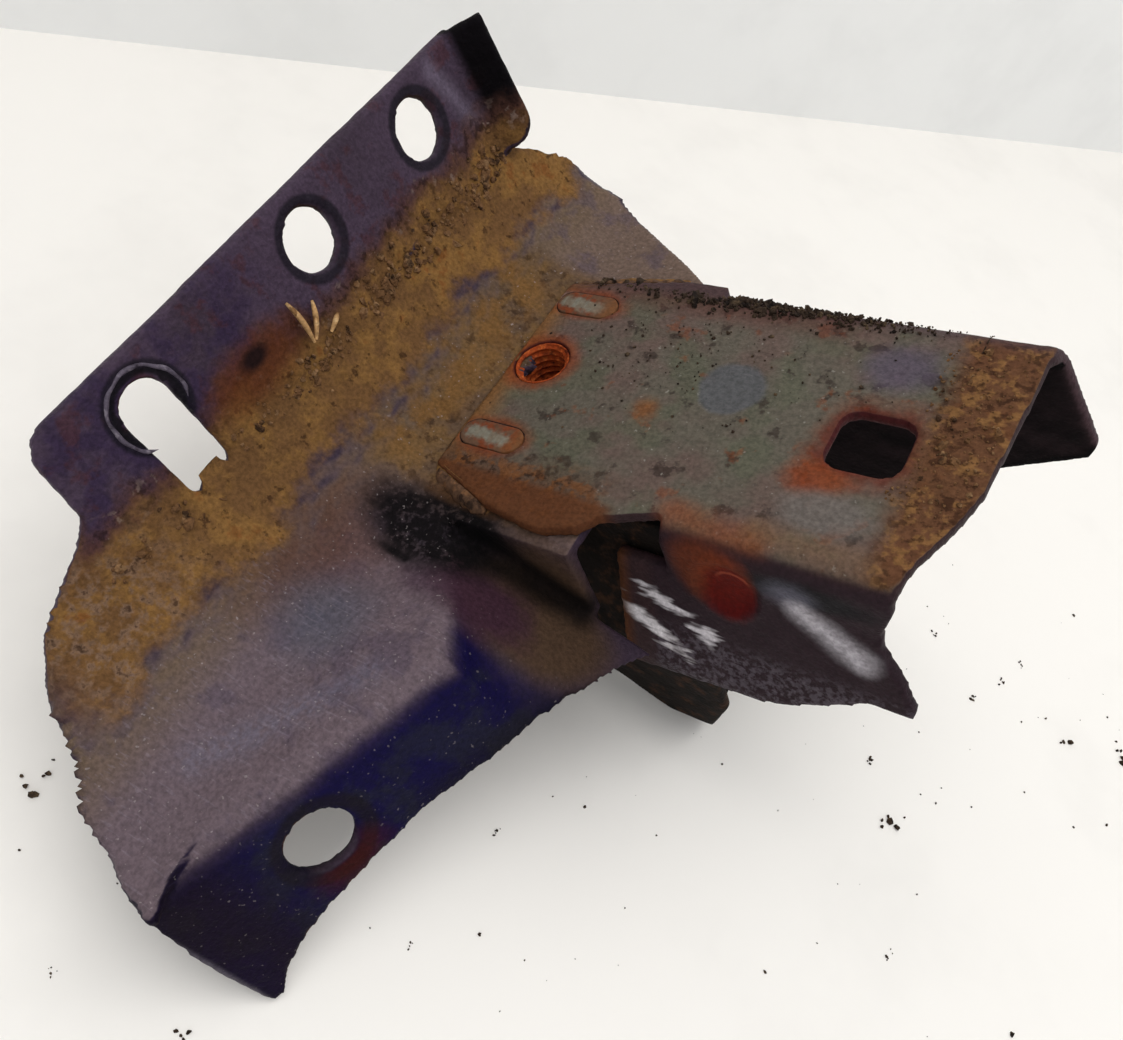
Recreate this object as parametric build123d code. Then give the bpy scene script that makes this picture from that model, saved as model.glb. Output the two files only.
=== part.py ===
from build123d import *
import math
import os

# Spare tire carrier bracket, in millimetres.
#
# A stamped mounting plate (bolt flange, wide valley bend, web, steep skirt) carries a cantilever arm.
# The arm is a downward-open channel whose walls deepen towards its root.  Its top runs back over the
# web as a tongue, where two plug welds and two seam welds hold it.  A weld nut sits under the lap, and
# a small trough closes the near underside between the web and the arm.
#
# Frame: +X points out along the arm, +Y across it to the far side, +Z up from the arm's top face.
# The origin is the centre of the square hole, on the arm's top face.

# ---- sheet thicknesses -------------------------------------------------------------------------
PLATE_T = 3.0
ARM_T = 3.0
TROUGH_T = 2.5

# ---- fits --------------------------------------------------------------------------------------
TOUCH = 0.0            # welded laps lie face to face
PUNCH_MARGIN = 2.0     # cutters run this far past both faces
NUT_HOLE_CLEARANCE = 0.5   # radial room around the thread in the two sheets above the nut

# ---- arm ---------------------------------------------------------------------------------------
ARM_FAR_Y = 35.5           # outer face of the far wall
ARM_NEAR_Y = -31.0         # outer face of the near wall
ARM_TIP_X = 24.0           # end of the top at the far edge
ARM_NEAR_TIP_X = 14.0      # end of the top at the near edge
ARM_BEND_R = 6.0           # outer radius of the two long bends
ARM_WALL_START_X = -30.0   # near wall starts here, beyond the window
ARM_TIP_DEPTH = 30.0       # depth of the far wall at the tip
ARM_TIP_RAKE = 20.0        # slant of the far wall's end edge, degrees
FAR_WALL_ROOT_X = -74.0
FAR_WALL_ROOT_DEPTH = 85.0
NEAR_FLARE = 8.0           # how far the near wall's lower lip stands out
NEAR_FLARE_Z = -14.0       # height where the lip starts
NEAR_LIP_Z = -40.0         # height where the lip is at its widest
FLARE_R = 8.0              # front radius of the lip's bends
WINDOW_FRONT_X = -40.0     # the wall below the window reaches back to about here
SQUARE_HOLE = 14.0
SQUARE_HOLE_R = 3.0

# ---- tongue of the arm over the web --------------------------------------------------------------
TONGUE_ROOT_X = -84.5
TONGUE_FAR_ROOT_Y = 29.0
TONGUE_NEAR_ROOT_Y = -31.0
TONGUE_NEAR_Y = -39.0      # widest near point of the tongue
TONGUE_NEAR_X = -53.0

# ---- threaded hole and plug welds ----------------------------------------------------------------
THREAD_X = -77.0
THREAD_Y = 3.0
THREAD_MAJOR_R = 6.0
THREAD_MINOR_R = 5.1
NUT_ACROSS_FLATS = 21.0
NUT_HEIGHT = 10.0
PLUG_CENTRE_Y = 1.2
PLUG_SPACING = 43.0        # between the two plug welds, across the arm
PLUG_LENGTH = 16.0
PLUG_WIDTH = 7.0
PLUG_X = -76.0

# ---- mounting plate ------------------------------------------------------------------------------
FLANGE_TILT = 11.0         # the flange leans back from the vertical, degrees
FLANGE_BASE_X = -102.0     # flange front face at the height of the arm's top
FLANGE_HEIGHT = 53.5       # top edge, along the flange
FLANGE_NEAR_Y = -83.0
FLANGE_FAR_Y = 46.0
VALLEY_R = 20.0            # inside radius of the bend between flange and web
CREASE_R = 9.0             # outside radius of the bend between web and skirt
BOLT_R = 6.75
BOLT_UP = 42.5             # bolt row, along the flange
BOLT_YS = (26.4, -13.0)    # the two round holes
SLOT_Y = -62.0
SLOT_W = 10.6
SLOT_LOW = 23.5            # the slot's square lower end, along the flange
SLOT_CORNER_R = 2.0
EAR_LENGTH = 11.5
EAR_ANGLE = 52.0
EAR_LOW = 23.5
EAR_CORNER_R = 6.0

WING_Y = -134.0            # near end of the web and skirt
WING_ROOT_Y = -41.0        # where the wing meets the platform under the tongue
WING_RISE = 7.0            # how much the wing's web climbs towards its near end
WING_STATIONS = [          # along the wing: Y, crease X, crease Z, skirt foot X at SKIRT_FOOT_Z
    (-136.0, -76.8, 4.1, -62.8),
    (-71.0, -50.6, 1.0, -37.7),
    (-58.0, -62.0, -2.0, -17.0),
    (-41.0, -78.0, -3.0, -15.0),
]
SKIRT_FOOT_Z = -45.0
WEB_FRONT_X = -45.0        # front edge of the web under the tongue
SKIRT_HOLE_Y = -107.0
SKIRT_HOLE_Z = -11.2
NOTCH_UP = 36.0            # the flange's near end steps out here
SKIRT_EDGE_Z = -22.0       # height of the skirt's scooped edge
WEB_FAR_ROOT_Y = 64.5      # far end of the web at the flange

# ---- trough under the near side --------------------------------------------------------------------
TROUGH_GAP = 0.8           # between the trough and the arm's near wall
TROUGH_FAR_Y = -12.0       # outer face of its far wall
TROUGH_ROOT_X = -74.0
TROUGH_END_X = -23.0
TROUGH_KEEL_X = -35.0      # lowest place
TROUGH_DEPTH = 82.0
TROUGH_BEND_R = 6.0
KEEL_TURN = 0.5            # the trough narrows by this much at each side of its bottom

# ---- welds -------------------------------------------------------------------------------------
BEAD = 4.0

WEB_TOP = -ARM_T - TOUCH
WEB_BOTTOM = WEB_TOP - PLATE_T
THREAD_CUT_R = THREAD_MAJOR_R + NUT_HOLE_CLEARANCE
TILT = math.radians(FLANGE_TILT)


# ---- bent sheet ----------------------------------------------------------------------------------
def unit(a, b):
    """Unit vector from a to b in the section plane."""
    length = math.hypot(b[0] - a[0], b[1] - a[1])
    return ((b[0] - a[0]) / length, (b[1] - a[1]) / length)


def shifted(points, distance):
    """The path moved sideways by distance, to the right of its direction."""
    moved = []
    for i, p in enumerate(points):
        before = unit(points[i - 1], p) if i > 0 else unit(p, points[1])
        after = unit(p, points[i + 1]) if i < len(points) - 1 else before
        turn = 1 + before[0] * after[0] + before[1] * after[1]
        side = (before[1] + after[1], -before[0] - after[0])
        moved.append((p[0] + distance * side[0] / turn, p[1] + distance * side[1] / turn))
    return moved


def bent_edges(points, radii, place):
    """Lines and arcs along straight legs with rounded corners."""
    edges = []
    start = points[0]
    for corner, after, radius in zip(points[1:-1], points[2:], radii):
        d1 = unit(corner, start)
        d2 = unit(corner, after)
        half = math.acos(d1[0] * d2[0] + d1[1] * d2[1]) / 2
        reach = radius / math.tan(half)
        bisector = unit((0, 0), (d1[0] + d2[0], d1[1] + d2[1]))
        mid = radius / math.sin(half) - radius
        a = (corner[0] + d1[0] * reach, corner[1] + d1[1] * reach)
        b = (corner[0] + d2[0] * reach, corner[1] + d2[1] * reach)
        m = (corner[0] + bisector[0] * mid, corner[1] + bisector[1] * mid)
        edges.append(Line(place(start), place(a)))
        edges.append(ThreePointArc(place(a), place(m), place(b)))
        start = b
    edges.append(Line(place(start), place(points[-1])))
    return edges


def sheet_face(points, bends, thickness, place):
    """Closed section of a bent sheet.

    bends holds a (radius, growth) pair for each corner: growth is +1 where the back of the sheet is
    on the outside of the bend and -1 where it is on the inside.
    """
    back = shifted(points, thickness)
    front_radii = [radius for radius, growth in bends]
    back_radii = [radius + growth * abs(thickness) for radius, growth in bends]
    edges = bent_edges(points, front_radii, place) + bent_edges(back, back_radii, place)
    edges.append(Line(place(points[0]), place(back[0])))
    edges.append(Line(place(points[-1]), place(back[-1])))
    return Face(Wire(edges))


def across(y):
    """Places a section point in the XZ plane at y."""
    return lambda p: (p[0], y, p[1])


def along(x):
    """Places a section point in the YZ plane at x."""
    return lambda p: (x, p[0], p[1])


def closed_face(outline, place):
    """Flat face inside a closed outline of straight edges."""
    corners = [place(p) for p in outline]
    return Face(Wire([Line(a, b) for a, b in zip(corners, corners[1:] + corners[:1])]))


def side_block(outline, y_from, y_to):
    """Solid seen from the side: an XZ outline between two Y stations."""
    return extrude(closed_face(outline, across(y_from)), amount=y_to - y_from, dir=(0, 1, 0))


def front_block(outline, x_from, x_to):
    """Solid seen from the front: a YZ outline between two X stations."""
    return extrude(closed_face(outline, along(x_from)), amount=x_to - x_from, dir=(1, 0, 0))


def plan_block(outline, z_from, z_to):
    """Solid seen from above: an XY outline between two heights."""
    return extrude(closed_face(outline, lambda p: (*p, z_from)), amount=z_to - z_from, dir=(0, 0, 1))


# ---- mounting plate --------------------------------------------------------------------------------
# Local frame of the flange: X along the row of bolts, Y up the flange, Z out of its front face.
FLANGE_PLANE = Plane(
    origin=(FLANGE_BASE_X, 0, 0),
    x_dir=(0, 1, 0),
    z_dir=(math.cos(TILT), 0, math.sin(TILT)),
)


def flange_point(up):
    """XZ of a point on the flange's front face, a distance up it from the level of the arm's top."""
    return (FLANGE_BASE_X - up * math.sin(TILT), up * math.cos(TILT))


def wing_station(y):
    """Crease and skirt foot of the near wing at one station."""
    for low, high in zip(WING_STATIONS, WING_STATIONS[1:]):
        if y <= high[0]:
            break
    t = (y - low[0]) / (high[0] - low[0])
    _, crease_x, crease_z, foot_x = [a + (b - a) * t for a, b in zip(low, high)]
    return (crease_x, crease_z), (foot_x, SKIRT_FOOT_Z)


def wing_section(y):
    """Section of the near wing: flange, valley, web, crease and skirt."""
    crease, foot = wing_station(y)
    path = [flange_point(FLANGE_HEIGHT), flange_point(crease[1] / math.cos(TILT)), crease, foot]
    return sheet_face(path, [(VALLEY_R, 1), (CREASE_R, -1)], PLATE_T, across(y))


def skirt_point(y, z):
    """Point on the skirt's outer face."""
    crease, foot = wing_station(y)
    s = (crease[1] - z) / (crease[1] - foot[1])
    return Vector(crease[0] + (foot[0] - crease[0]) * s, y, z)


def skirt_hole_plane():
    """Plane at the middle of the skirt's sheet where its hole is, normal to the sheet."""
    here = skirt_point(SKIRT_HOLE_Y, SKIRT_HOLE_Z)
    to_far = skirt_point(SKIRT_HOLE_Y + 1, SKIRT_HOLE_Z) - here
    down = skirt_point(SKIRT_HOLE_Y, SKIRT_HOLE_Z - 1) - here
    normal = down.cross(to_far).normalized()
    return Plane(origin=here - normal * (PLATE_T / 2), x_dir=to_far, z_dir=normal)


def folded_ear():
    """Stiffening ear at the far end of the flange, folded towards the front."""
    hinge = FLANGE_PLANE * Pos(FLANGE_FAR_Y, 0, -PLATE_T)
    height = FLANGE_HEIGHT - EAR_LOW
    centre = (EAR_LENGTH / 2, EAR_LOW + height / 2, PLATE_T / 2)
    blank = Pos(*centre) * Box(EAR_LENGTH, height, PLATE_T)
    low_corner = blank.edges().filter_by(Axis.Z).sort_by(Axis.X)[-2:].sort_by(Axis.Y)[0]
    fold_fill = Pos(0, EAR_LOW + height / 2, 0) * Cylinder(PLATE_T, height, rotation=(90, 0, 0))
    fold_fill &= Pos(0, EAR_LOW + height / 2, PLATE_T) * Box(4 * PLATE_T, height, 2 * PLATE_T)
    return hinge * (Rot(0, -EAR_ANGLE, 0) * fillet(low_corner, EAR_CORNER_R) + fold_fill)


def mounting_plate():
    """Flange, valley, web and skirt, pressed from one sheet."""
    wing = loft([wing_section(station[0]) for station in WING_STATIONS], ruled=True)
    base = flange_point(WEB_TOP / math.cos(TILT))
    path = [flange_point(FLANGE_HEIGHT), base, (WEB_FRONT_X, WEB_TOP)]
    body_face = sheet_face(path, [(VALLEY_R, 1)], PLATE_T, across(WING_ROOT_Y))
    body = extrude(body_face, amount=WEB_FAR_ROOT_Y - WING_ROOT_Y, dir=(0, 1, 0))
    plate = wing + body + side_block(PLATFORM_OUTLINE, WING_ROOT_Y, WING_ROOT_Y + PLATE_T)
    plate &= front_block(PLATE_FRONT_OUTLINE, FLANGE_BASE_X - 40, 20)
    plate &= plan_block(PLATE_PLAN_OUTLINE, SKIRT_FOOT_Z, FLANGE_HEIGHT + 5)
    plate += folded_ear()

    cut = 2 * (PLATE_T + PUNCH_MARGIN)
    for y in BOLT_YS:
        plate -= FLANGE_PLANE * Pos(y, BOLT_UP, 0) * Cylinder(BOLT_R, cut)
    slot_middle = (BOLT_UP + SLOT_LOW) / 2
    slot = Box(SLOT_W, BOLT_UP - SLOT_LOW, 2 * cut)
    low_corners = slot.edges().filter_by(Axis.Z).sort_by(Axis.Y)[:2]
    plate -= FLANGE_PLANE * Pos(SLOT_Y, slot_middle, 0) * fillet(low_corners, SLOT_CORNER_R)
    plate -= FLANGE_PLANE * Pos(SLOT_Y, BOLT_UP, 0) * Cylinder(SLOT_W / 2, 2 * cut)
    plate -= skirt_hole_plane() * Cylinder(BOLT_R, cut)
    plate -= Pos(THREAD_X, THREAD_Y, WEB_TOP) * Cylinder(THREAD_CUT_R, 2 * cut)
    return plate


# ---- support arm -----------------------------------------------------------------------------------
def wall_path():
    """YZ path of the arm's outer faces, from the far wall's foot over the top to the near wall's."""
    lip_y = ARM_NEAR_Y - NEAR_FLARE
    return [
        (ARM_FAR_Y, -FAR_WALL_ROOT_DEPTH - PUNCH_MARGIN),
        (ARM_FAR_Y, 0),
        (ARM_NEAR_Y, 0),
        (ARM_NEAR_Y, NEAR_FLARE_Z),
        (lip_y, NEAR_LIP_Z),
        (lip_y, -FAR_WALL_ROOT_DEPTH - PUNCH_MARGIN),
    ]


def support_arm():
    """The channel with its tongue: one stamping, open downwards."""
    bends = [(ARM_BEND_R, -1), (ARM_BEND_R, -1), (FLARE_R, 1), (FLARE_R, -1)]
    face = sheet_face(wall_path(), bends, -ARM_T, along(FAR_WALL_ROOT_X))
    channel = extrude(face, amount=FAR_WALL_TIP_X - FAR_WALL_ROOT_X, dir=(1, 0, 0))
    middle = (ARM_FAR_Y + ARM_NEAR_Y) / 2
    far = channel & side_block(FAR_WALL_OUTLINE, middle, ARM_FAR_Y + PUNCH_MARGIN)
    near = channel & side_block(NEAR_WALL_OUTLINE, ARM_NEAR_Y - 2 * NEAR_FLARE, middle)
    arm = far + near + plan_block(TONGUE_OUTLINE, -ARM_T, 0)
    arm -= plan_block(TIP_CUT_OUTLINE, -ARM_BEND_R, PUNCH_MARGIN)

    punch = 4 * (ARM_T + PUNCH_MARGIN)
    square = Box(SQUARE_HOLE, SQUARE_HOLE, punch)
    arm -= fillet(square.edges().filter_by(Axis.Z), SQUARE_HOLE_R)
    arm -= Pos(THREAD_X, THREAD_Y, 0) * Cylinder(THREAD_CUT_R, punch)
    for side in (-1, 1):
        arm -= plug_shape(side, punch)
    return arm


def plug_shape(side, height):
    """Round-ended plug to one side of the threaded hole; side is -1 near and +1 far."""
    y = PLUG_CENTRE_Y + side * PLUG_SPACING / 2
    run = PLUG_LENGTH - PLUG_WIDTH
    shape = Pos(PLUG_X, y, -ARM_T / 2) * Box(run, PLUG_WIDTH, height)
    for end in (-1, 1):
        shape += Pos(PLUG_X + end * run / 2, y, -ARM_T / 2) * Cylinder(PLUG_WIDTH / 2, height)
    return shape


# ---- trough, nut and welds ---------------------------------------------------------------------------
def trough():
    """Small keel-shaped channel under the near side, open at its outer end."""
    inset = ARM_T + TROUGH_GAP
    inner = shifted(wall_path()[2:5], -inset)
    foot_y = inner[2][0] + KEEL_TURN
    path = [
        (inner[1][0], WEB_BOTTOM),
        inner[1],
        inner[2],
        (foot_y, -TROUGH_DEPTH),
        (TROUGH_FAR_Y - KEEL_TURN, -TROUGH_DEPTH),
        (TROUGH_FAR_Y, WEB_BOTTOM),
    ]
    bends = [(FLARE_R, -1), (FLARE_R, -1), (TROUGH_BEND_R, -1), (TROUGH_BEND_R, -1)]
    bends[0] = (FLARE_R, 1)
    face = sheet_face(path, bends, -TROUGH_T, along(TROUGH_ROOT_X))
    body = extrude(face, amount=TROUGH_END_X - TROUGH_ROOT_X, dir=(1, 0, 0))
    return body & side_block(TROUGH_OUTLINE, ARM_NEAR_Y - 2 * NEAR_FLARE, 0)


def weld_nut():
    """Hexagon nut under the lap; its bore carries the thread."""
    body = extrude(Plane.XY * RegularPolygon(NUT_ACROSS_FLATS / 2, 6, major_radius=False), NUT_HEIGHT)
    body -= Cylinder(THREAD_MINOR_R, 4 * NUT_HEIGHT)
    return Pos(THREAD_X, THREAD_Y, WEB_BOTTOM - NUT_HEIGHT) * body


def plug_weld(side):
    """Weld metal that fills one slot of the tongue, flush with its top."""
    return plug_shape(side, ARM_T)


def bead(points, size):
    """Fillet weld of triangular section along the foot of an upright edge, legs of the given size."""
    (x0, y0), (x1, y1) = points
    length = math.hypot(x1 - x0, y1 - y0)
    section = Polyline((0, 0), (0, size), (size, 0), close=True)
    prism = extrude(Plane.YZ * make_face(section), length)
    angle = math.degrees(math.atan2(y1 - y0, x1 - x0))
    return Pos(x0, y0, WEB_TOP) * Rot(0, 0, angle) * prism


def under_bead(x_from, x_to, y, side):
    """Fillet weld between the web's underside and a wall below it; side is the way it stands out."""
    section = Polyline((0, 0), (0, -BEAD), (side * BEAD, 0), close=True)
    return Pos(x_from, y, WEB_BOTTOM) * extrude(Plane.YZ * make_face(section), x_to - x_from)


# ---- outlines ----------------------------------------------------------------------------------------
PLATE_FRONT_OUTLINE = [
    (FLANGE_NEAR_Y - 1.5, NOTCH_UP),
    (FLANGE_NEAR_Y - 0.8, NOTCH_UP + 7),
    (FLANGE_NEAR_Y, FLANGE_HEIGHT - 5),
    (FLANGE_NEAR_Y + 2.5, FLANGE_HEIGHT - 2.3),
    (FLANGE_NEAR_Y + 8, FLANGE_HEIGHT - 0.7),
    (FLANGE_NEAR_Y + 10, FLANGE_HEIGHT + 5),
    (FLANGE_FAR_Y, FLANGE_HEIGHT + 5),
    (FLANGE_FAR_Y, EAR_LOW),
    (FLANGE_FAR_Y + 4, EAR_LOW - 2),
    (WEB_FAR_ROOT_Y - 7, EAR_LOW - 8),
    (WEB_FAR_ROOT_Y - 2, EAR_LOW - 14),
    (WEB_FAR_ROOT_Y, EAR_LOW - 20),
    (WEB_FAR_ROOT_Y, WEB_BOTTOM - 6),
    (WING_ROOT_Y + 3, WEB_BOTTOM - 6),
    (WING_ROOT_Y + 3, SKIRT_EDGE_Z - 14),
    (WING_ROOT_Y - 3, SKIRT_EDGE_Z - 10),
    (WING_ROOT_Y - 10, SKIRT_EDGE_Z - 6.5),
    (WING_ROOT_Y - 18, SKIRT_EDGE_Z - 2.6),
    (WING_ROOT_Y - 28, SKIRT_EDGE_Z - 1.2),
    (WING_ROOT_Y - 38, SKIRT_EDGE_Z - 1),
    (WING_ROOT_Y - 51, SKIRT_EDGE_Z + 0.3),
    (WING_ROOT_Y - 63, SKIRT_EDGE_Z - 0.8),
    (WING_ROOT_Y - 73, SKIRT_EDGE_Z - 2.4),
    (WING_ROOT_Y - 81, SKIRT_EDGE_Z - 4.6),
    (WING_ROOT_Y - 87, SKIRT_EDGE_Z - 8),
    (WING_ROOT_Y - 91, SKIRT_EDGE_Z - 12),
    (WING_Y, SKIRT_EDGE_Z - 11),
    (WING_Y, WING_RISE),
    (WING_Y + 13, WING_RISE + 5),
    (WING_Y + 22, WING_RISE + 11.5),
    (WING_Y + 30, NOTCH_UP - 9.5),
    (FLANGE_NEAR_Y - 5, NOTCH_UP - 2.5),
]
PLATE_PLAN_OUTLINE = [
    (FLANGE_BASE_X - 40, WING_Y + 20),
    (FLANGE_BASE_X - 6, WING_Y + 22),
    (FLANGE_BASE_X + 8.5, WING_Y + 9),
    (FLANGE_BASE_X + 25.5, WING_Y + 2.5),
    (FLANGE_BASE_X + 36, WING_Y - 2),
    (0, WING_Y - 2),
    (0, WING_ROOT_Y),
    (WEB_FRONT_X, WING_ROOT_Y + 3),
    (WEB_FRONT_X, ARM_FAR_Y + 1),
    (WEB_FRONT_X - 8, ARM_FAR_Y + 3),
    (WEB_FRONT_X - 15, ARM_FAR_Y + 8.5),
    (WEB_FRONT_X - 21, WEB_FAR_ROOT_Y - 16.5),
    (WEB_FRONT_X - 35, WEB_FAR_ROOT_Y - 7.5),
    (WEB_FRONT_X - 45, WEB_FAR_ROOT_Y - 2),
    (WEB_FRONT_X - 52, WEB_FAR_ROOT_Y),
    (WEB_FRONT_X - 55, WEB_FAR_ROOT_Y + 20),
    (FLANGE_BASE_X - 40, WEB_FAR_ROOT_Y + 20),
]
PLATFORM_OUTLINE = [
    (WEB_FRONT_X - 35, WEB_TOP),
    (WEB_FRONT_X, WEB_TOP),
    (WEB_FRONT_X, WEB_TOP - 23),
    (WEB_FRONT_X - 33, WEB_TOP - 2),
]
FAR_WALL_TIP_X = ARM_TIP_X + ARM_TIP_DEPTH * math.tan(math.radians(ARM_TIP_RAKE))
FAR_WALL_OUTLINE = [
    (FAR_WALL_ROOT_X, WEB_BOTTOM),
    (WEB_FRONT_X, WEB_BOTTOM),
    (WEB_FRONT_X, PUNCH_MARGIN),
    (ARM_TIP_X, PUNCH_MARGIN),
    (ARM_TIP_X, 0),
    (FAR_WALL_TIP_X - 0.6, -ARM_TIP_DEPTH + 4),
    (FAR_WALL_TIP_X - 1.6, -ARM_TIP_DEPTH),
    (FAR_WALL_ROOT_X + 12, -FAR_WALL_ROOT_DEPTH),
    (FAR_WALL_ROOT_X + 3, -FAR_WALL_ROOT_DEPTH + 3),
    (FAR_WALL_ROOT_X, -FAR_WALL_ROOT_DEPTH + 12),
]
NEAR_WALL_OUTLINE = [
    (ARM_WALL_START_X, PUNCH_MARGIN),
    (ARM_TIP_X, PUNCH_MARGIN),
    (ARM_TIP_X, -ARM_T),
    (ARM_NEAR_TIP_X + 0.8, -ARM_BEND_R),
    (ARM_NEAR_TIP_X - 1.4, NEAR_FLARE_Z),
    (ARM_NEAR_TIP_X - 0.8, NEAR_FLARE_Z - 4),
    (ARM_NEAR_TIP_X + 0.6, NEAR_FLARE_Z - 6),
    (ARM_NEAR_TIP_X + 3, NEAR_FLARE_Z - 9.5),
    (ARM_NEAR_TIP_X + 6.6, NEAR_FLARE_Z - 16),
    (ARM_NEAR_TIP_X + 6, NEAR_FLARE_Z - 17.5),
    (ARM_NEAR_TIP_X - 1.7, NEAR_FLARE_Z - 17.2),
    (ARM_NEAR_TIP_X - 11.2, NEAR_FLARE_Z - 22.4),
    (ARM_NEAR_TIP_X - 20.5, NEAR_FLARE_Z - 27),
    (ARM_NEAR_TIP_X - 32.5, NEAR_FLARE_Z - 28.2),
    (WINDOW_FRONT_X - 2, NEAR_FLARE_Z - 31),
    (WINDOW_FRONT_X - 2, NEAR_FLARE_Z),
    (ARM_WALL_START_X, NEAR_FLARE_Z),
]
TONGUE_OUTLINE = [
    (ARM_TIP_X - 12, ARM_FAR_Y - ARM_BEND_R),
    (WEB_FRONT_X, ARM_FAR_Y - ARM_BEND_R),
    (WEB_FRONT_X, ARM_FAR_Y),
    (WEB_FRONT_X - 10, ARM_FAR_Y),
    (TONGUE_ROOT_X, TONGUE_FAR_ROOT_Y),
    (TONGUE_ROOT_X, TONGUE_NEAR_ROOT_Y),
    (TONGUE_NEAR_X - 14, TONGUE_NEAR_Y + 2),
    (TONGUE_NEAR_X, TONGUE_NEAR_Y),
    (WEB_FRONT_X, TONGUE_NEAR_Y + 3),
    (WEB_FRONT_X + 3, ARM_NEAR_Y - 1),
    (ARM_WALL_START_X, ARM_NEAR_Y + 4),
    (ARM_WALL_START_X, ARM_NEAR_Y + ARM_BEND_R),
    (ARM_TIP_X - 12, ARM_NEAR_Y + ARM_BEND_R),
]
TIP_CUT_OUTLINE = [
    (ARM_TIP_X, ARM_FAR_Y - 6),
    (ARM_TIP_X - 1, ARM_FAR_Y - 24),
    (ARM_TIP_X - 2, -5),
    (ARM_TIP_X - 4.5, -14),
    (ARM_NEAR_TIP_X + 2, -23),
    (ARM_NEAR_TIP_X, ARM_NEAR_Y - 1),
    (FAR_WALL_TIP_X + 5, ARM_NEAR_Y - 1),
    (FAR_WALL_TIP_X + 5, ARM_FAR_Y - 6),
]
TROUGH_OUTLINE = [
    (TROUGH_ROOT_X, WEB_BOTTOM),
    (TROUGH_END_X, WEB_BOTTOM),
    (TROUGH_END_X, -TROUGH_DEPTH + 18),
    (TROUGH_KEEL_X + 5, -TROUGH_DEPTH + 2),
    (TROUGH_KEEL_X, -TROUGH_DEPTH),
    (TROUGH_KEEL_X - 4, -TROUGH_DEPTH + 2),
    (TROUGH_KEEL_X - 18, -TROUGH_DEPTH + 14),
    (TROUGH_ROOT_X, -TROUGH_DEPTH + 26),
]


# ---- assembly ----------------------------------------------------------------------------------------
def build():
    """Every node of the bracket, by name."""
    near_edge = [(TONGUE_NEAR_X - 14, TONGUE_NEAR_Y + 2), (TONGUE_ROOT_X, TONGUE_NEAR_ROOT_Y)]
    far_edge = [(TONGUE_ROOT_X, TONGUE_FAR_ROOT_Y), (WEB_FRONT_X - 10, ARM_FAR_Y)]
    trough_far_face = TROUGH_FAR_Y
    return {
        "mounting_plate": mounting_plate(),
        "support_arm": support_arm(),
        "trough": trough(),
        "weld_nut": weld_nut(),
        "plug_weld_near": plug_weld(-1),
        "plug_weld_far": plug_weld(1),
        "seam_weld_near": bead(near_edge, ARM_T),
        "seam_weld_far": bead(far_edge, ARM_T),
        "wall_weld": under_bead(FAR_WALL_ROOT_X + 4, WEB_FRONT_X, ARM_FAR_Y, 1),
        "trough_weld": under_bead(TROUGH_ROOT_X + 4, WEB_FRONT_X, trough_far_face, 1),
    }


os.makedirs("parts", exist_ok=True)
for node, shape in build().items():
    export_step(shape, f"parts/{node}.step")
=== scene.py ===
"""Looks of a rusty spare tire carrier bracket: worn blue-black paint, valley dirt, painted shade and
highlights, welds and thread.
"""

import logging
import math
from dataclasses import dataclass
from enum import Enum
from typing import Any, Callable, Optional, Sequence

import bmesh
import bpy
import numpy as np
from mathutils import Matrix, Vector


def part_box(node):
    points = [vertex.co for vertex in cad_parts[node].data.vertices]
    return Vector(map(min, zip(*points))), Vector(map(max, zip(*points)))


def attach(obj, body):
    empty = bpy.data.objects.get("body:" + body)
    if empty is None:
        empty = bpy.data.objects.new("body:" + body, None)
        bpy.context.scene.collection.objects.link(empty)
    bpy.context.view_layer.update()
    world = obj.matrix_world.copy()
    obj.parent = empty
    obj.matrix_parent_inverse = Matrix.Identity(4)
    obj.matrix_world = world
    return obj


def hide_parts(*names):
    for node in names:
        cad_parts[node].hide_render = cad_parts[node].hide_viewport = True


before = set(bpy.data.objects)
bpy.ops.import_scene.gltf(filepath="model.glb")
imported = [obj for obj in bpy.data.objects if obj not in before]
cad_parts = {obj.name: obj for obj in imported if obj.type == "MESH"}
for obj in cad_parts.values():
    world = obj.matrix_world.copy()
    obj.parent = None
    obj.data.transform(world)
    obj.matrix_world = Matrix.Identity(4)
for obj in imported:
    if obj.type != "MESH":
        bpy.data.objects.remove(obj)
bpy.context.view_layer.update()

LOG = logging.getLogger("bracket")
MM = 0.001
Triple = tuple[float, float, float]
Colour = tuple[float, float, float]

# ---- places shared by the pieces, in millimetres, in the bracket's frame ------------------------------
SHEET = 3.0
FLANGE_BASE_X = -102.0
FLANGE_LEAN = math.radians(11.0)
BOLT_UP = 42.5
BOLT_YS = (26.4, -13.0, -62.0)
SLOT_LOW = 23.5
THREAD_XY = (-77.0, 3.0)
PLUG_X = -76.0
PLUG_YS = (-20.3, 22.7)
PLUG_RUN = 9.0
PLUG_HALF = 3.5
SKIRT_HOLE = (-59.5, -107.0, -11.2)
# three points that touch the floor, and two points where the floor meets the wall
FEET = ((-39.0, -33.4, -80.0), (-68.6, -134.0, -33.0), (-71.0, 32.5, -82.0))
WALL_FOOT = ((-320.1, 54.9, 50.9), (-17.2, 448.4, -238.0))
ARM_FAR_Y = 35.5
# smooth patch, pressed dimple, and how far crumbs stay from the patch and from a hole's middle
PATCH_XY = (-31.0, 6.4)
DIMPLE = (-17.0, -31.0, -13.0)
PATCH_CLEAR = 8.0
HOLE_CLEAR = 8.5
# bead welds: legs of the two along the tongue, and legs and places of the two below the web
SEAM_LEG = 2.9
ROOT_LEG = 3.9
ROOT_WELD_XS = (-70.0, -45.0)
TROUGH_WELD_Y = -12.0
UNDER_WEB = -2 * SHEET
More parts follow.
